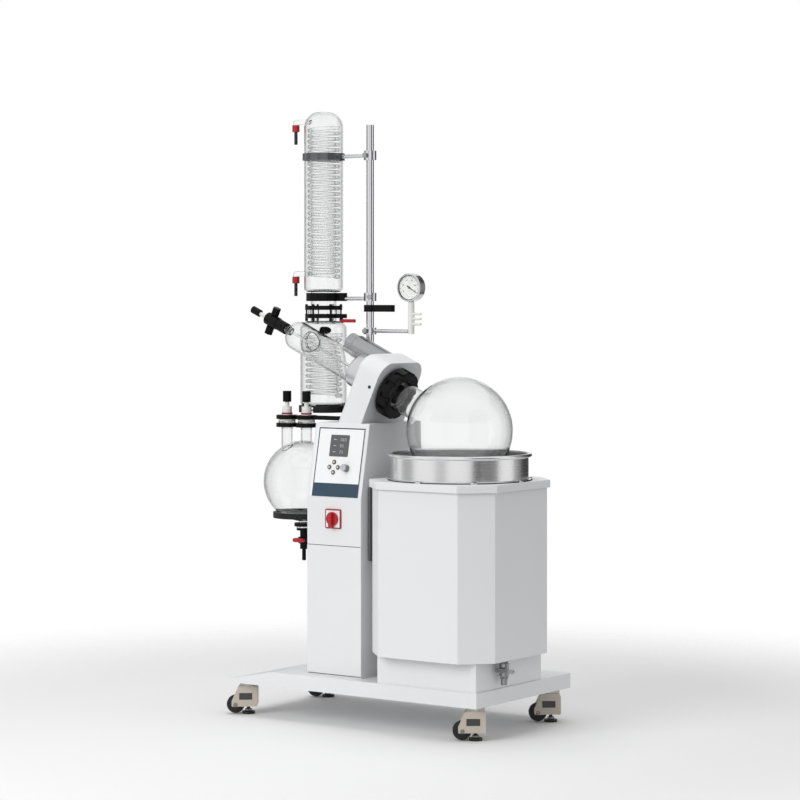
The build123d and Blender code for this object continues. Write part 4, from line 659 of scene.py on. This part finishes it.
class EVAPORATOR_OT_metal(bpy.types.Operator):
    """Polished, turned and machined metal parts"""
    bl_idname = "evaporator.metal"
    bl_label = "Metal parts"

    def execute(self, context):
        """Finish the rod, valve, shaft and lift, and add their screws."""
        dress(metal_finish("polished steel", srgb(224, 224, 227), (60, 60, 900), 0.07, 0.04, 0.03), "support_rod")
        self.clamps()
        chrome = metal_finish("chromed brass", srgb(150, 151, 153), (200, 200, 200), 0.06, 0.05, 0.03)
        dress(chrome, "drain_valve", "drain_lever")
        machined = metal_finish("machined steel", srgb(168, 168, 172), (500, 500, 500), 0.3, 0.15)
        dress(machined, "shaft_bearings", "drive_shaft", "drive_gear", "motor_pinion", "lift_screw", "lift_drive")
        # The bracket sits in the shaded gap between column and bath: its dark grey is painted shade.
        dress(coat_finish("bracket in painted shade", srgb(104, 106, 110)), "lift_bracket")
        dress(metal_finish("turned aluminium", srgb(214, 214, 217), (700, 700, 700), 0.22), "duct_flange")
        # Broad dark and bright streaks along the motor: partly grain, partly painted reflection.
        dress(metal_finish("motor sleeve", srgb(184, 185, 186), (4, 70, 4), 0.12, 0.4), "gear_motor")
        self.screws(context.scene.evaporator_details)
        return {"FINISHED"}

    def clamps(self):
        """Polished bosses and arms with a grey strap round the glass, and the screws that hold them."""
        finish = Finish("clamps on the rod")
        tree = finish.tree
        grain = finish.effect(brushed_grain, Color=srgb(222, 222, 225), Stretch=(60, 60, 900), Roughness=0.09,
                              Contrast=0.04)
        strap_reach = 0.078
        strap = number(tree, "LESS_THAN", finish.from_axis(condenser_axis()), strap_reach)
        finish.surface(mix_colour(tree, strap, grain["Color"], srgb(96, 97, 100)), grain, 0.03, grain_depth)
        finish.feed("Metallic", number(tree, "SUBTRACT", 1.0, number(tree, "MULTIPLY", strap, 0.6)))
        dress(finish, "rod_clamps")
        rod = middle("support_rod")
        boss_radius = 0.0205
        stem_radius, stem_length = 0.004, 0.01
        knob_radius, knob_length, knob_start = 0.009, 0.009, 0.008

        def knobs(bm):
            for level, direction in rod_screws:
                start = Vector((rod.x, rod.y, level)) + boss_radius * Vector(direction)
                bar(bm, start, direction, stem_radius, stem_length, 24)
                bar(bm, start + knob_start * Vector(direction), direction, knob_radius, knob_length, 10)

        piece("rod_screws", "frame", metal_finish("screw steel", srgb(176, 177, 180), (300, 300, 300), 0.2), knobs)

    def screws(self, sizes):
        """Cover screws on the cabinet's back, the head and the bath's bracket, and strips of painted shade along the
        column's seam.
        """
        low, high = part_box("column_cabinet")
        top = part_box("console_housing")[1].z
        plate_low, plate_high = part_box("lift_bracket")
        zinc = metal_finish("zinc screw", srgb(190, 190, 188), (300, 300, 300), 0.28)
        black = plastic_finish("black screw", srgb(20, 20, 21), 0.3, 800.0, 0.0)
        radius = sizes.screw_radius
        end_margin, side_margin = 0.03, 0.018
        heights = [
            low.z + end_margin + share * (top - low.z - 2 * end_margin) for share in (0, 0.24, 0.47, 0.53, 0.76, 1)
        ]
        plate_face = plate_low.x + 0.1749
        plate_margin_y, plate_margin_z = 0.02, 0.025
        seam_shade_depth, seam_shade_height = 0.0006, 0.0022
        seam_shade_end, seam_shade_side_end = 0.004, 0.006

        def cover(bm):
            for x in (low.x + side_margin, high.x - side_margin):
                for z in heights:
                    screw(bm, Vector((x, high.y, z)), (0, 1, 0), radius, 0.6 * radius)

        def bracket(bm):
            for y in (plate_low.y + plate_margin_y, plate_high.y - plate_margin_y):
                for z in (plate_low.z + plate_margin_z, plate_high.z - plate_margin_z):
                    screw(bm, Vector((plate_face, y, z)), (1, 0, 0), 1.3 * radius, radius)

        # Grey strips of painted shade along the seam between the column and the console.
        def seam(bm):
            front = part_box("column_front")[0]
            across = (high.x - low.x - seam_shade_end, seam_shade_depth, seam_shade_height)
            sideways = (seam_shade_depth, high.y - front.y - seam_shade_side_end, seam_shade_height)
            middle_x, middle_y = (low.x + high.x) / 2, (front.y + high.y) / 2
            for x, y, size in (
                (middle_x, front.y, across), (middle_x, high.y, across), (low.x, middle_y, sideways),
            ):
                block(bm, size, Matrix.Translation((x, y, high.z)))

        def head(bm):
            screw(bm, on_axis(0.3316, -0.098, 0.004), (0, -1, 0), 1.1 * radius, 0.6 * radius)

        piece("back_screws", "frame", zinc, cover)
        piece("bracket_screws", "bath", black, bracket)
        piece("head_screw", "frame", black, head)
        piece("column_seam_shade", "frame", plastic_finish("painted seam shade", srgb(96, 97, 99), 0.6, 1200.0, 0.0), seam)


class EVAPORATOR_OT_glass(bpy.types.Operator):
    """Clear glassware with its coils"""
    bl_idname = "evaporator.glass"
    bl_label = "Glassware"

    def execute(self, context):
        """Clear glass on the flasks and condensers, and round coils."""
        colours = context.scene.evaporator_finish
        sizes = context.scene.evaporator_details
        clear = glass_finish("borosilicate glass", colours.glass)
        dress(clear, "evaporating_flask", "vapour_head", "lower_condenser", "upper_condenser")
        ground = glass_finish("glass with ground joints", colours.glass)
        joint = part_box("receiving_flask")[1].z
        tree = ground.tree
        height = ground.along((0, 0, 0), (0, 0, 1))
        fade = 0.002
        frost = step(tree, height, joint - sizes.joint_band, joint - sizes.joint_band + fade)
        blown = ground.effect(blown_glass, Smudge=0.03)
        ground.feed("Roughness", number(tree, "MAXIMUM", blown["Roughness"], number(tree, "MULTIPLY", frost, 0.35)))
        dress(ground, "receiving_flask")
        self.coils(sizes)
        return {"FINISHED"}

    def coils(self, sizes):
        """Round glass tube wound up each barrel, with a painted highlight where it faces the eye and painted shade at
        its edges.
        """
        finish = Finish("coil glass", Specular_IOR_Level=0.6)
        tree = finish.tree
        blown = finish.effect(blown_glass, Wave=30.0, Smudge=0.06)
        rim = painted_rim_mask(tree, 1.7)
        # Painted highlight and shade: near white where the tube faces the eye, near black at its edges.
        finish.surface(mix_colour(tree, rim, srgb(250, 251, 252), srgb(12, 13, 14)), blown, 0.02, wave_depth)
        finish.feed("Alpha", spread(tree, rim, 0.1, 0.95))
        axis = condenser_axis()
        steps = 40

        def winding(bm):
            for radius, foot, turns, wall in coils:
                top = foot + turns * sizes.coil_pitch
                path = [axis + Vector((wall, 0, foot))]
                for index in range(steps * turns + 1):
                    angle = 2 * math.pi * index / steps
                    rise = sizes.coil_pitch * index / steps
                    path.append(axis + Vector((radius * math.cos(angle), radius * math.sin(angle), foot + rise)))
                path.append(axis + Vector((wall, 0, top)))
                tube(bm, path, sizes.coil_tube)

        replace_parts(piece("round_coils", "frame", finish, winding), "condenser_coils")


class EVAPORATOR_OT_fittings(bpy.types.Operator):
    """Black clamps, caps and supports, and the white and red fittings"""
    bl_idname = "evaporator.fittings"
    bl_label = "Clamps and caps"

    def execute(self, context):
        """Finish the moulded and painted fittings and add their small parts."""
        colours = context.scene.evaporator_finish
        black = plastic_finish("black moulding", colours.black, 0.3, 1400.0, 0.01, shine=0.12)
        dress(black, "lock_nut", "feed_knob", "glass_clamps", "vent_knob")
        dress(self.feed_body(colours), "feed_valve_body")
        dress(plastic_finish("black coated steel", srgb(22, 22, 24), 0.35, 900.0, 0.03, 0.1, 0.3), "glass_supports")
        white = plastic_finish("white fluoropolymer", srgb(236, 236, 232), 0.3, 900.0, 0.05, 0.08)
        dress(white, "vacuum_post", "receiver_valves")
        red = plastic_finish("red moulding", colours.red, 0.3, 900.0, 0.04, 0.08)
        dress(red, "vacuum_lever", "discharge_knob")
        dress(self.hose_caps(colours), "hose_caps")
        self.bolts(context.scene.evaporator_details)
        self.seals(red)
        self.barbs(white)
        return {"FINISHED"}

    def feed_body(self, colours):
        """Black valve body with a white neck before its hose tip."""
        finish, tree, skin = moulded("feed valve body", 0.15, colours.black, 1400.0, 0.32, 0.12)
        along = finish.along(joints["flask_spin"]["pos_m"], joints["flask_spin"]["axis"])
        neck_start, neck_end = 0.8975, 0.9295
        past = number(tree, "GREATER_THAN", along, neck_start)
        neck = number(tree, "MULTIPLY", past, number(tree, "LESS_THAN", along, neck_end))
        finish.surface(mix_colour(tree, neck, skin["Color"], srgb(232, 232, 228)), skin, 0.12)
        return finish

    def hose_caps(self, colours):
        """Red screw caps with black hose tails below them."""
        finish, tree, skin = moulded("caps and hose tails", 0.5, colours.red, 900.0, 0.3, 0.1)
        tail_radius = 0.0064
        tail = number(tree, "LESS_THAN", finish.from_axis(middle("hose_caps")), tail_radius)
        finish.surface(mix_colour(tree, tail, skin["Color"], srgb(26, 26, 27)), skin, 0.1)
        return finish

    def bolts(self, sizes):
        """Six bolts with nuts through the two coupling rings."""
        dark = metal_finish("dark bolt", srgb(62, 62, 66), (400, 400, 400), 0.32)
        centre = condenser_axis()
        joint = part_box("lower_condenser")[1].z
        below, length = 0.032, 0.06
        nut_radius, nut_height = 0.0058, 0.0095
        head_radius, head_height, head_level = 0.0055, 0.005, 0.0535

        def through(bm):
            for index in range(6):
                angle = math.radians(30 + 60 * index)
                spot = centre + sizes.bolt_circle * Vector((math.cos(angle), math.sin(angle), 0))
                spot.z = joint - below
                bar(bm, spot, (0, 0, 1), sizes.bolt_radius, length, 16)
                bar(bm, spot, (0, 0, 1), nut_radius, nut_height)
                bar(bm, spot + Vector((0, 0, head_level)), (0, 0, 1), head_radius, head_height)

        piece("coupling_bolts", "frame", dark, through)

    def seals(self, red):
        """Red seal rings on the receiver's two stems."""
        low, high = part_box("receiver_valves")
        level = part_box("receiving_flask")[1].z + 0.0245
        stem = 0.03
        inner, outer, height, edge = 0.0165, 0.0195, 0.005, 0.001
        profile = (
            (inner, 0), (outer - edge, 0), (outer, edge), (outer, height - edge), (outer - edge, height),
            (inner, height),
        )

        def rings(bm):
            for x, y in ((low.x + stem, low.y + stem), (high.x - stem, high.y - stem)):
                turned(bm, profile, (x, y, level), segments=40)

        piece("stem_seals", "frame", red, rings)

    def barbs(self, white):
        """Ridges on the three hose barbs of the post."""
        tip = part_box("vacuum_post")[1].x
        post = middle("vacuum_post")
        levels = [mount["pos_m"][2] for mount in frame["record"]["mounts"] if mount["name"].startswith("vacuum")]
        bore, crest, root, ridge = 0.003, 0.0049, 0.0041, 0.0045
        start, pitch = tip - 0.024, 0.0055

        def ridges(bm):
            for level in levels:
                for index in range(4):
                    profile = ((bore, 0), (crest, 0), (root, ridge), (bore, ridge))
                    turned(bm, profile, (start + pitch * index, post.y, level), (1, 0, 0), 24)

        piece("barb_ridges", "frame", white, ridges)


class EVAPORATOR_OT_controls(bpy.types.Operator):
    """Control panel, display, buttons, knob and isolator"""
    bl_idname = "evaporator.controls"
    bl_label = "Controls"

    def execute(self, context):
        """Print the panel and finish the controls."""
        colours = context.scene.evaporator_finish
        sizes = context.scene.evaporator_details
        press = Vector(joints["button_up_press"]["axis"])
        upwards = Vector((0, -press.z, press.y)).normalized()
        if upwards.z < 0:
            upwards = -upwards
        dress(self.overlay(upwards, colours, sizes), "control_panel")
        display = plastic_finish("display window", srgb(88, 90, 93), 0.14, 300.0, 0.0, 0.01)
        dress(display, "display_window")
        self.readout(press, upwards)
        for name in ("button_up", "button_left", "button_right", "button_down"):
            dress(self.button(name, press, colours), name)
        dress(self.knob(press), "speed_knob")
        dress(plastic_finish("isolator red", colours.red, 0.28, 700.0, 0.02, 0.08), "power_knob")
        dress(self.isolator(), "switch_plate")
        return {"FINISHED"}

    def overlay(self, upwards, colours, sizes):
        """White panel with a printed band at its foot and a thin border."""
        low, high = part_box("control_panel")
        foot = Vector(((low.x + high.x) / 2, low.y, low.z))
        half = (high.x - low.x) / 2
        rise = (high.z - low.z) / upwards.z
        finish, tree, skin = moulded("printed overlay", 0.5, srgb(246, 247, 248), 700.0, 0.3, 0.0)
        sideways = finish.along(foot, (1, 0, 0))
        level = finish.along(foot, upwards)
        band = number(tree, "LESS_THAN", level, sizes.band_height)
        right = number(tree, "SUBTRACT", half, sideways)
        left = number(tree, "ADD", half - sizes.border_left, sideways)
        side = number(tree, "MINIMUM", left, right)
        edge = number(tree, "MINIMUM", side, number(tree, "SUBTRACT", rise, level))
        border = number(tree, "LESS_THAN", edge, sizes.border_inset + sizes.border_width)
        printed = number(tree, "GREATER_THAN", edge, sizes.border_inset)
        print_mask = number(tree, "MULTIPLY", printed, number(tree, "MAXIMUM", band, border))
        finish.surface(mix_colour(tree, print_mask, skin["Color"], colours.band), skin, 0.06)
        return finish

    def isolator(self):
        """White square plate with a red rim."""
        plate = middle("switch_plate")
        reach = (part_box("switch_plate")[1].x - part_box("switch_plate")[0].x) / 2
        rim_width = 0.0045
        finish, tree, skin = moulded("isolator plate", 0.5, srgb(240, 240, 240), 900.0, 0.32, 0.0)
        across = number(tree, "ABSOLUTE", finish.along(plate, (1, 0, 0)))
        along = number(tree, "ABSOLUTE", finish.along(plate, (0, 0, 1)))
        rim = number(tree, "GREATER_THAN", number(tree, "MAXIMUM", across, along), reach - rim_width)
        finish.surface(mix_colour(tree, rim, skin["Color"], srgb(150, 40, 46)), skin, 0.08)
        return finish

    def button(self, name, press, colours):
        """Dark button with a painted highlight at the crown of its dome."""
        finish, tree, skin = moulded(f"domed {name}", 0.5, colours.bronze, 600.0, 0.2, 0.1)
        crown, edge = 0.0024, 0.0052
        rim = step(tree, finish.from_axis(middle(name), press), crown, edge)
        # Painted highlight: pale at the crown, fading to the button's own dark colour towards its edge.
        finish.surface(mix_colour(tree, rim, srgb(214, 210, 204), skin["Color"]), skin, 0.05)
        return finish

    def knob(self, press):
        """Satin knob with a bright face and painted shade on its flank."""
        finish = Finish("satin knob", Metallic=1.0)
        tree = finish.tree
        solid = nodes["speed_knob"]
        face = max((solid.matrix_world @ vertex.co).dot(-press) for vertex in solid.data.vertices)
        flank_end, face_start = face - 0.0022, face - 0.0006
        grain = finish.effect(brushed_grain, Color=srgb(208, 208, 210), Stretch=(400, 400, 400), Roughness=0.2,
                              Contrast=0.12)
        top = step(tree, finish.along((0, 0, 0), -press), flank_end, face_start)
        # Painted shade: the flank takes a flat dark grey, the face the brighter grain.
        finish.surface(mix_colour(tree, top, srgb(128, 129, 131), grain["Color"]), grain, 0.15, grain_depth)
        return finish

    def readout(self, press, upwards):
        """Three rows on the display, each with a pale dash and numerals."""
        pale = plastic_finish("display numerals", srgb(206, 214, 216), 0.3, 300.0, 0.0, 0.01)
        low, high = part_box("display_window")
        front = Vector(((low.x + high.x) / 2, 0, (low.z + high.z) / 2))
        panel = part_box("control_panel")
        front.y = panel[0].y + (front.z - panel[0].z) * upwards.y / upwards.z
        face = Matrix((
            (1, upwards.x, -press.x, front.x), (0, upwards.y, -press.y, front.y), (0, upwards.z, -press.z, front.z),
            (0, 0, 0, 1),
        ))
        size = 0.0024
        thick, lift, row_pitch = 0.0004, 0.0008, 0.021
        dash, dash_x, words_x = (0.012, 0.0016, thick), -0.02, 0.006
        lying, standing = (1.7 * size, 0.4 * size, thick), (0.4 * size, 1.5 * size, thick)

        def digits(bm):
            for row, word in enumerate(("060", "85", "25")):
                level = row_pitch - row * row_pitch
                where = face @ Matrix.Translation((words_x, level, lift))
                write(bm, word, where, 3.6 * size, (size, 0.9 * size), lying, standing)
                block(bm, dash, face @ Matrix.Translation((dash_x, level, lift)))

        piece("display_numerals", "frame", pale, digits, smooth=False)


class EVAPORATOR_OT_gauge(bpy.types.Operator):
    """Vacuum gauge with its dial, scale and lens"""
    bl_idname = "evaporator.gauge"
    bl_label = "Vacuum gauge"

    def execute(self, context):
        """Finish the case and add the dial."""
        sizes = context.scene.evaporator_details
        dress(metal_finish("gauge bezel", srgb(214, 214, 216), (300, 300, 300), 0.14, 0.06), "gauge_case")
        low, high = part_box("gauge_case")
        radius = (high.x - low.x) / 2
        centre = Vector(((low.x + high.x) / 2, low.y, high.z - radius))
        white = plastic_finish("dial white", srgb(244, 244, 242), 0.4, 900.0, 0.0, 0.03)
        ink_and_rim_shade = plastic_finish("dial ink and painted rim shade", srgb(24, 24, 26), 0.5, 900.0, 0.0, 0.03)
        dress(ink_and_rim_shade, "gauge_needle")
        toward = (0, -1, 0)
        floor = centre + Vector((0, 0.0059, 0))
        print_level = floor + Vector((0, -0.0007, 0))
        hub, dial_thick, ink_thick = 0.0026, 0.0006, 0.0003
        rim_shade_foot, rim_shade_top = 0.0005, 0.0009
        long_tick, short_tick = 0.0011, 0.0006
        first, sweep, ticks_in_sweep = -31, 240, 40
        rim = sizes.dial_radius
        rim_shade_inner, outer, figure_reach = 0.94 * rim, 0.92 * rim, 0.62 * rim
        pitch, reach = 0.0036, 0.0011
        lying, standing = (0.0022, 0.0006, ink_thick), (0.0006, 0.0022, ink_thick)
        upright = Matrix(((1, 0, 0, 0), (0, 0, -1, 0), (0, 1, 0, 0), (0, 0, 0, 1)))

        def dial(bm):
            turned(bm, ((hub, 0), (rim, 0), (rim, dial_thick), (hub, dial_thick)), floor, toward, 64)

        def ticks(bm):
            # Dark ring round the dial's edge: painted shade at the bezel's inner edge.
            ring = ((rim_shade_inner, rim_shade_foot), (rim, rim_shade_foot), (rim, rim_shade_top), (rim_shade_inner, rim_shade_top))
            turned(bm, ring, floor, toward, 64)
            for index in range(ticks_in_sweep + 1):
                angle = math.radians(first + sweep * index / ticks_in_sweep)
                long = index % 4 == 0
                inner = rim * (0.78 if long else 0.85)
                where = Matrix.Translation(print_level) @ Matrix.Rotation(-angle, 4, "Y")
                where = where @ Matrix.Translation(((inner + outer) / 2, 0, 0))
                block(bm, (outer - inner, ink_thick, long_tick if long else short_tick), where)

        def figures(bm):
            for index in range(6):
                angle = math.radians(first + sweep * index / 5)
                word = str(100 - 20 * index)
                back = (len(word) - 1) / 2 * pitch
                spot = Vector((figure_reach * math.cos(angle) - back, 0, figure_reach * math.sin(angle)))
                where = Matrix.Translation(print_level + spot) @ upright
                write(bm, word, where, pitch, (reach, reach), lying, standing)

        piece("gauge_dial", "frame", white, dial)
        piece("gauge_scale_and_rim_shade", "frame", ink_and_rim_shade, ticks, smooth=False)
        piece("gauge_numerals", "frame", ink_and_rim_shade, figures, smooth=False)
        lens = glass_finish("gauge lens", (0.99, 0.99, 0.99), 0.01)
        pane, pane_thick = radius - 0.0052, 0.0012
        pane_back = centre + Vector((0, 0.0018, 0))

        def window(bm):
            turned(bm, ((0, 0), (pane, 0), (pane, pane_thick), (0, pane_thick)), pane_back, toward, 64)

        piece("gauge_lens", "frame", lens, window)
        return {"FINISHED"}


class EVAPORATOR_OT_casters(bpy.types.Operator):
    """Levelling casters with their recesses, axles and pads"""
    bl_idname = "evaporator.casters"
    bl_label = "Casters"

    def execute(self, context):
        """Finish the casters and the wheels."""
        colours = context.scene.evaporator_finish
        shell, tree, skin = moulded("caster moulding", 0.45, colours.caster, 900.0, 0.42, 0.08)
        height = shell.along((0, 0, 0), (0, 0, 1))
        pad_top, swivel_foot = 0.0275, 0.0985
        pad = number(tree, "LESS_THAN", height, pad_top)
        swivel = number(tree, "GREATER_THAN", height, swivel_foot)
        base = mix_colour(tree, pad, skin["Color"], srgb(28, 28, 29))
        shell.surface(mix_colour(tree, swivel, base, srgb(186, 184, 178)), skin, 0.15)
        shell.feed("Metallic", swivel)
        tyre = plastic_finish("wheel tread", srgb(30, 30, 31), 0.55, 1200.0, 0.1, 0.2)
        plate = plastic_finish("caster plate", srgb(58, 58, 60), 0.3, 600.0, 0.0, 0.05)
        steel = metal_finish("axle cap", srgb(150, 148, 142), (300, 300, 300), 0.3)
        for corner in ("front_left", "rear_left", "front_right", "rear_right"):
            dress(shell, f"caster_{corner}")
            dress(tyre, f"wheel_{corner}")
            self.fittings(corner, plate, steel)
        return {"FINISHED"}

    def fittings(self, corner, plate, steel):
        """Bare plate in the recess, axle caps and the levelling nut of one caster."""
        pivot = Vector(joints[f"caster_{corner}_swivel"]["pos_m"])
        axle = Vector(joints[f"wheel_{corner}_spin"]["pos_m"])
        side = Vector(joints[f"wheel_{corner}_spin"]["axis"])
        ahead = Vector((side.y, -side.x, 0))
        name = f"caster_{corner}"
        plate_size, plate_level = (0.0445, 0.0006, 0.0225), 0.063
        plate_back, plate_out = 0.008, 0.0304
        cap_out, cap_radius, cap_height = 0.031, 0.0075, 0.003
        nut_level, nut_radius, nut_height = 0.009, 0.013, 0.009

        def label(bm):
            where = pivot - plate_back * ahead - plate_out * side
            turn = Matrix((ahead, side, (0, 0, 1))).transposed().to_4x4()
            block(bm, plate_size, Matrix.Translation((where.x, where.y, plate_level)) @ turn)

        def caps(bm):
            for way in (-1, 1):
                screw(bm, axle + way * cap_out * side, way * side, cap_radius, cap_height)

        def nut(bm):
            bar(bm, Vector((pivot.x, pivot.y, nut_level)), (0, 0, 1), nut_radius, nut_height)

        piece(f"plate_{corner}", name, plate, label, bevel=0.0002, smooth=False)
        piece(f"axle_caps_{corner}", name, steel, caps)
        piece(f"levelling_nut_{corner}", name, steel, nut, smooth=False)


class EVAPORATOR_OT_stage(bpy.types.Operator):
    """Floor, soft light and camera"""
    bl_idname = "evaporator.stage"
    bl_label = "Studio"

    def execute(self, context):
        """Build the floor, the lamps, the sky and the camera."""
        scene = context.scene
        studio = scene.evaporator_studio
        scene.view_settings.view_transform = "Standard"
        self.floor(studio)
        self.sky(scene, studio)
        for turn, spread_angle, grey, through in flags:
            self.flag(studio, turn, spread_angle, grey, through)
        self.lamp("key_lamp", (-0.9, -5.2, 3.2), 3.0, studio.key_power)
        self.lamp("top_lamp", (0.0, 0.0, 5.0), 3.5, studio.top_power)
        self.camera(scene, studio)
        return {"FINISHED"}

    def floor(self, studio):
        """Round floor that fades into the white background."""
        paint = Finish("studio paper", Roughness=0.9, Specular_IOR_Level=0.1)
        tone = noise(paint.tree, 0.7, 2.0)
        colour = mix_colour(paint.tree, tone, [0.99 * value for value in studio.floor], studio.floor)
        paint.feed("Base Color", colour)
        reach = vector(paint.tree, "LENGTH", position(paint.tree))
        gone = step(paint.tree, reach, studio.floor_fade, studio.floor_end)
        paint.feed("Alpha", number(paint.tree, "SUBTRACT", 1.0, gone))

        def disc(bm):
            bmesh.ops.create_circle(bm, cap_ends=True, segments=96, radius=studio.floor_end)

        ground = shape("studio_floor", paint, disc)

    def sky(self, scene, studio):
        """Even light, and a white background for what the camera, metal and glass see."""
        world = bpy.data.worlds.new("studio")
        scene.world = world
        world.use_nodes = True
        tree = world.node_tree
        path = tree.nodes.new("ShaderNodeLightPath")
        seen = number(tree, "MAXIMUM", path.outputs["Is Camera Ray"], path.outputs["Is Transmission Ray"])
        seen = number(tree, "MAXIMUM", seen, path.outputs["Is Glossy Ray"])
        even = tree.nodes["Background"]
        even.inputs["Color"].default_value = (1, 1, 1, 1)
        tree.links.new(spread(tree, seen, studio.sky, 1.0), even.inputs["Strength"])

    def flag(self, studio, turn, spread_angle, grey, through):
        """Tall grey card at an angle from the camera, seen only through glass or only as a reflection."""
        card = Finish(f"flag {turn}", Base_Color=(0, 0, 0, 1), Roughness=1.0, Emission_Strength=1.0)
        card.shader.inputs["Emission Color"].default_value = (grey, grey, grey, 1)
        bath = middle("bath_pan")
        foot, top = -1.0, 5.0

        def sheet(bm):
            edges = []
            for share in (-1, -0.5, 0, 0.5, 1):
                angle = studio.azimuth + math.radians(turn + share * spread_angle)
                x = bath.x + studio.flag_distance * math.sin(angle)
                y = bath.y - studio.flag_distance * math.cos(angle)
                edges.append((bm.verts.new((x, y, foot)), bm.verts.new((x, y, top))))
            for (low, high), (next_low, next_high) in zip(edges, edges[1:]):
                bm.faces.new((low, next_low, next_high, high))

        thing = shape(f"flag_{turn}", card, sheet)
        thing.visible_camera = False
        thing.visible_diffuse = False
        thing.visible_shadow = False
        thing.visible_glossy = not through
        thing.visible_transmission = through

    def lamp(self, name, place, size, power):
        """Square soft lamp aimed at the middle of the machine."""
        light = bpy.data.lights.new(name, "AREA")
        light.size = size
        light.energy = power
        thing = bpy.data.objects.new(name, light)
        thing.location = place
        thing.rotation_mode = "QUATERNION"
        aim = Vector((0, 0, 0.9))
        thing.rotation_quaternion = (aim - Vector(place)).to_track_quat("-Z", "Y")
        thing.visible_glossy = False
        thing.visible_transmission = False
        bpy.context.scene.collection.objects.link(thing)

    def camera(self, scene, studio):
        """Camera at the photograph's angle, level, with the frame shifted down."""
        lens = bpy.data.cameras.new("camera")
        lens.lens = studio.lens
        lens.sensor_width = 36
        lens.shift_x = 0.00375
        lens.shift_y = -0.1275
        lens.clip_end = 200
        thing = bpy.data.objects.new("camera", lens)
        bath = middle("bath_pan")
        right = Vector((math.cos(studio.azimuth), math.sin(studio.azimuth), 0))
        ahead = Vector((-math.sin(studio.azimuth), math.cos(studio.azimuth), 0))
        spot = Vector((bath.x, bath.y, 0)) - studio.distance * ahead - studio.sideways * right
        thing.location = (spot.x, spot.y, studio.height)
        thing.rotation_mode = "QUATERNION"
        thing.rotation_quaternion = ahead.to_track_quat("-Z", "Y")
        scene.collection.objects.link(thing)
        scene.camera = thing


class EVAPORATOR_PT_panel(bpy.types.Panel):
    """Sidebar panel with the settings and the steps"""
    bl_label = "Rotary evaporator"
    bl_space_type = "VIEW_3D"
    bl_region_type = "UI"
    bl_category = "Evaporator"

    def draw(self, context):
        """List the steps and the settings."""
        layout = self.layout
        for operator in operators:
            layout.operator(operator.bl_idname)
        for group in (context.scene.evaporator_finish, context.scene.evaporator_details,
                      context.scene.evaporator_studio):
            box = layout.box()
            for name in group.__annotations__:
                box.prop(group, name)


settings = (FinishSettings, DetailSettings, StudioSettings)
operators = (
    EVAPORATOR_OT_coat, EVAPORATOR_OT_pan, EVAPORATOR_OT_metal, EVAPORATOR_OT_glass, EVAPORATOR_OT_fittings,
    EVAPORATOR_OT_controls, EVAPORATOR_OT_gauge, EVAPORATOR_OT_casters, EVAPORATOR_OT_stage,
)


def register():
    """Register the classes and hang the settings on the scene."""
    for item in (*settings, *operators, EVAPORATOR_PT_panel):
        bpy.utils.register_class(item)
    bpy.types.Scene.evaporator_finish = PointerProperty(type=FinishSettings)
    bpy.types.Scene.evaporator_details = PointerProperty(type=DetailSettings)
    bpy.types.Scene.evaporator_studio = PointerProperty(type=StudioSettings)


def unregister():
    """Take the settings off the scene and unregister the classes."""
    del bpy.types.Scene.evaporator_studio
    del bpy.types.Scene.evaporator_details
    del bpy.types.Scene.evaporator_finish
    for item in reversed((*settings, *operators, EVAPORATOR_PT_panel)):
        bpy.utils.unregister_class(item)


def main():
    """Run each step in order."""
    register()
    bpy.ops.evaporator.coat()
    bpy.ops.evaporator.pan()
    bpy.ops.evaporator.metal()
    bpy.ops.evaporator.glass()
    bpy.ops.evaporator.fittings()
    bpy.ops.evaporator.controls()
    bpy.ops.evaporator.gauge()
    bpy.ops.evaporator.casters()
    bpy.ops.evaporator.stage()


if __name__ == "__main__":
    main()
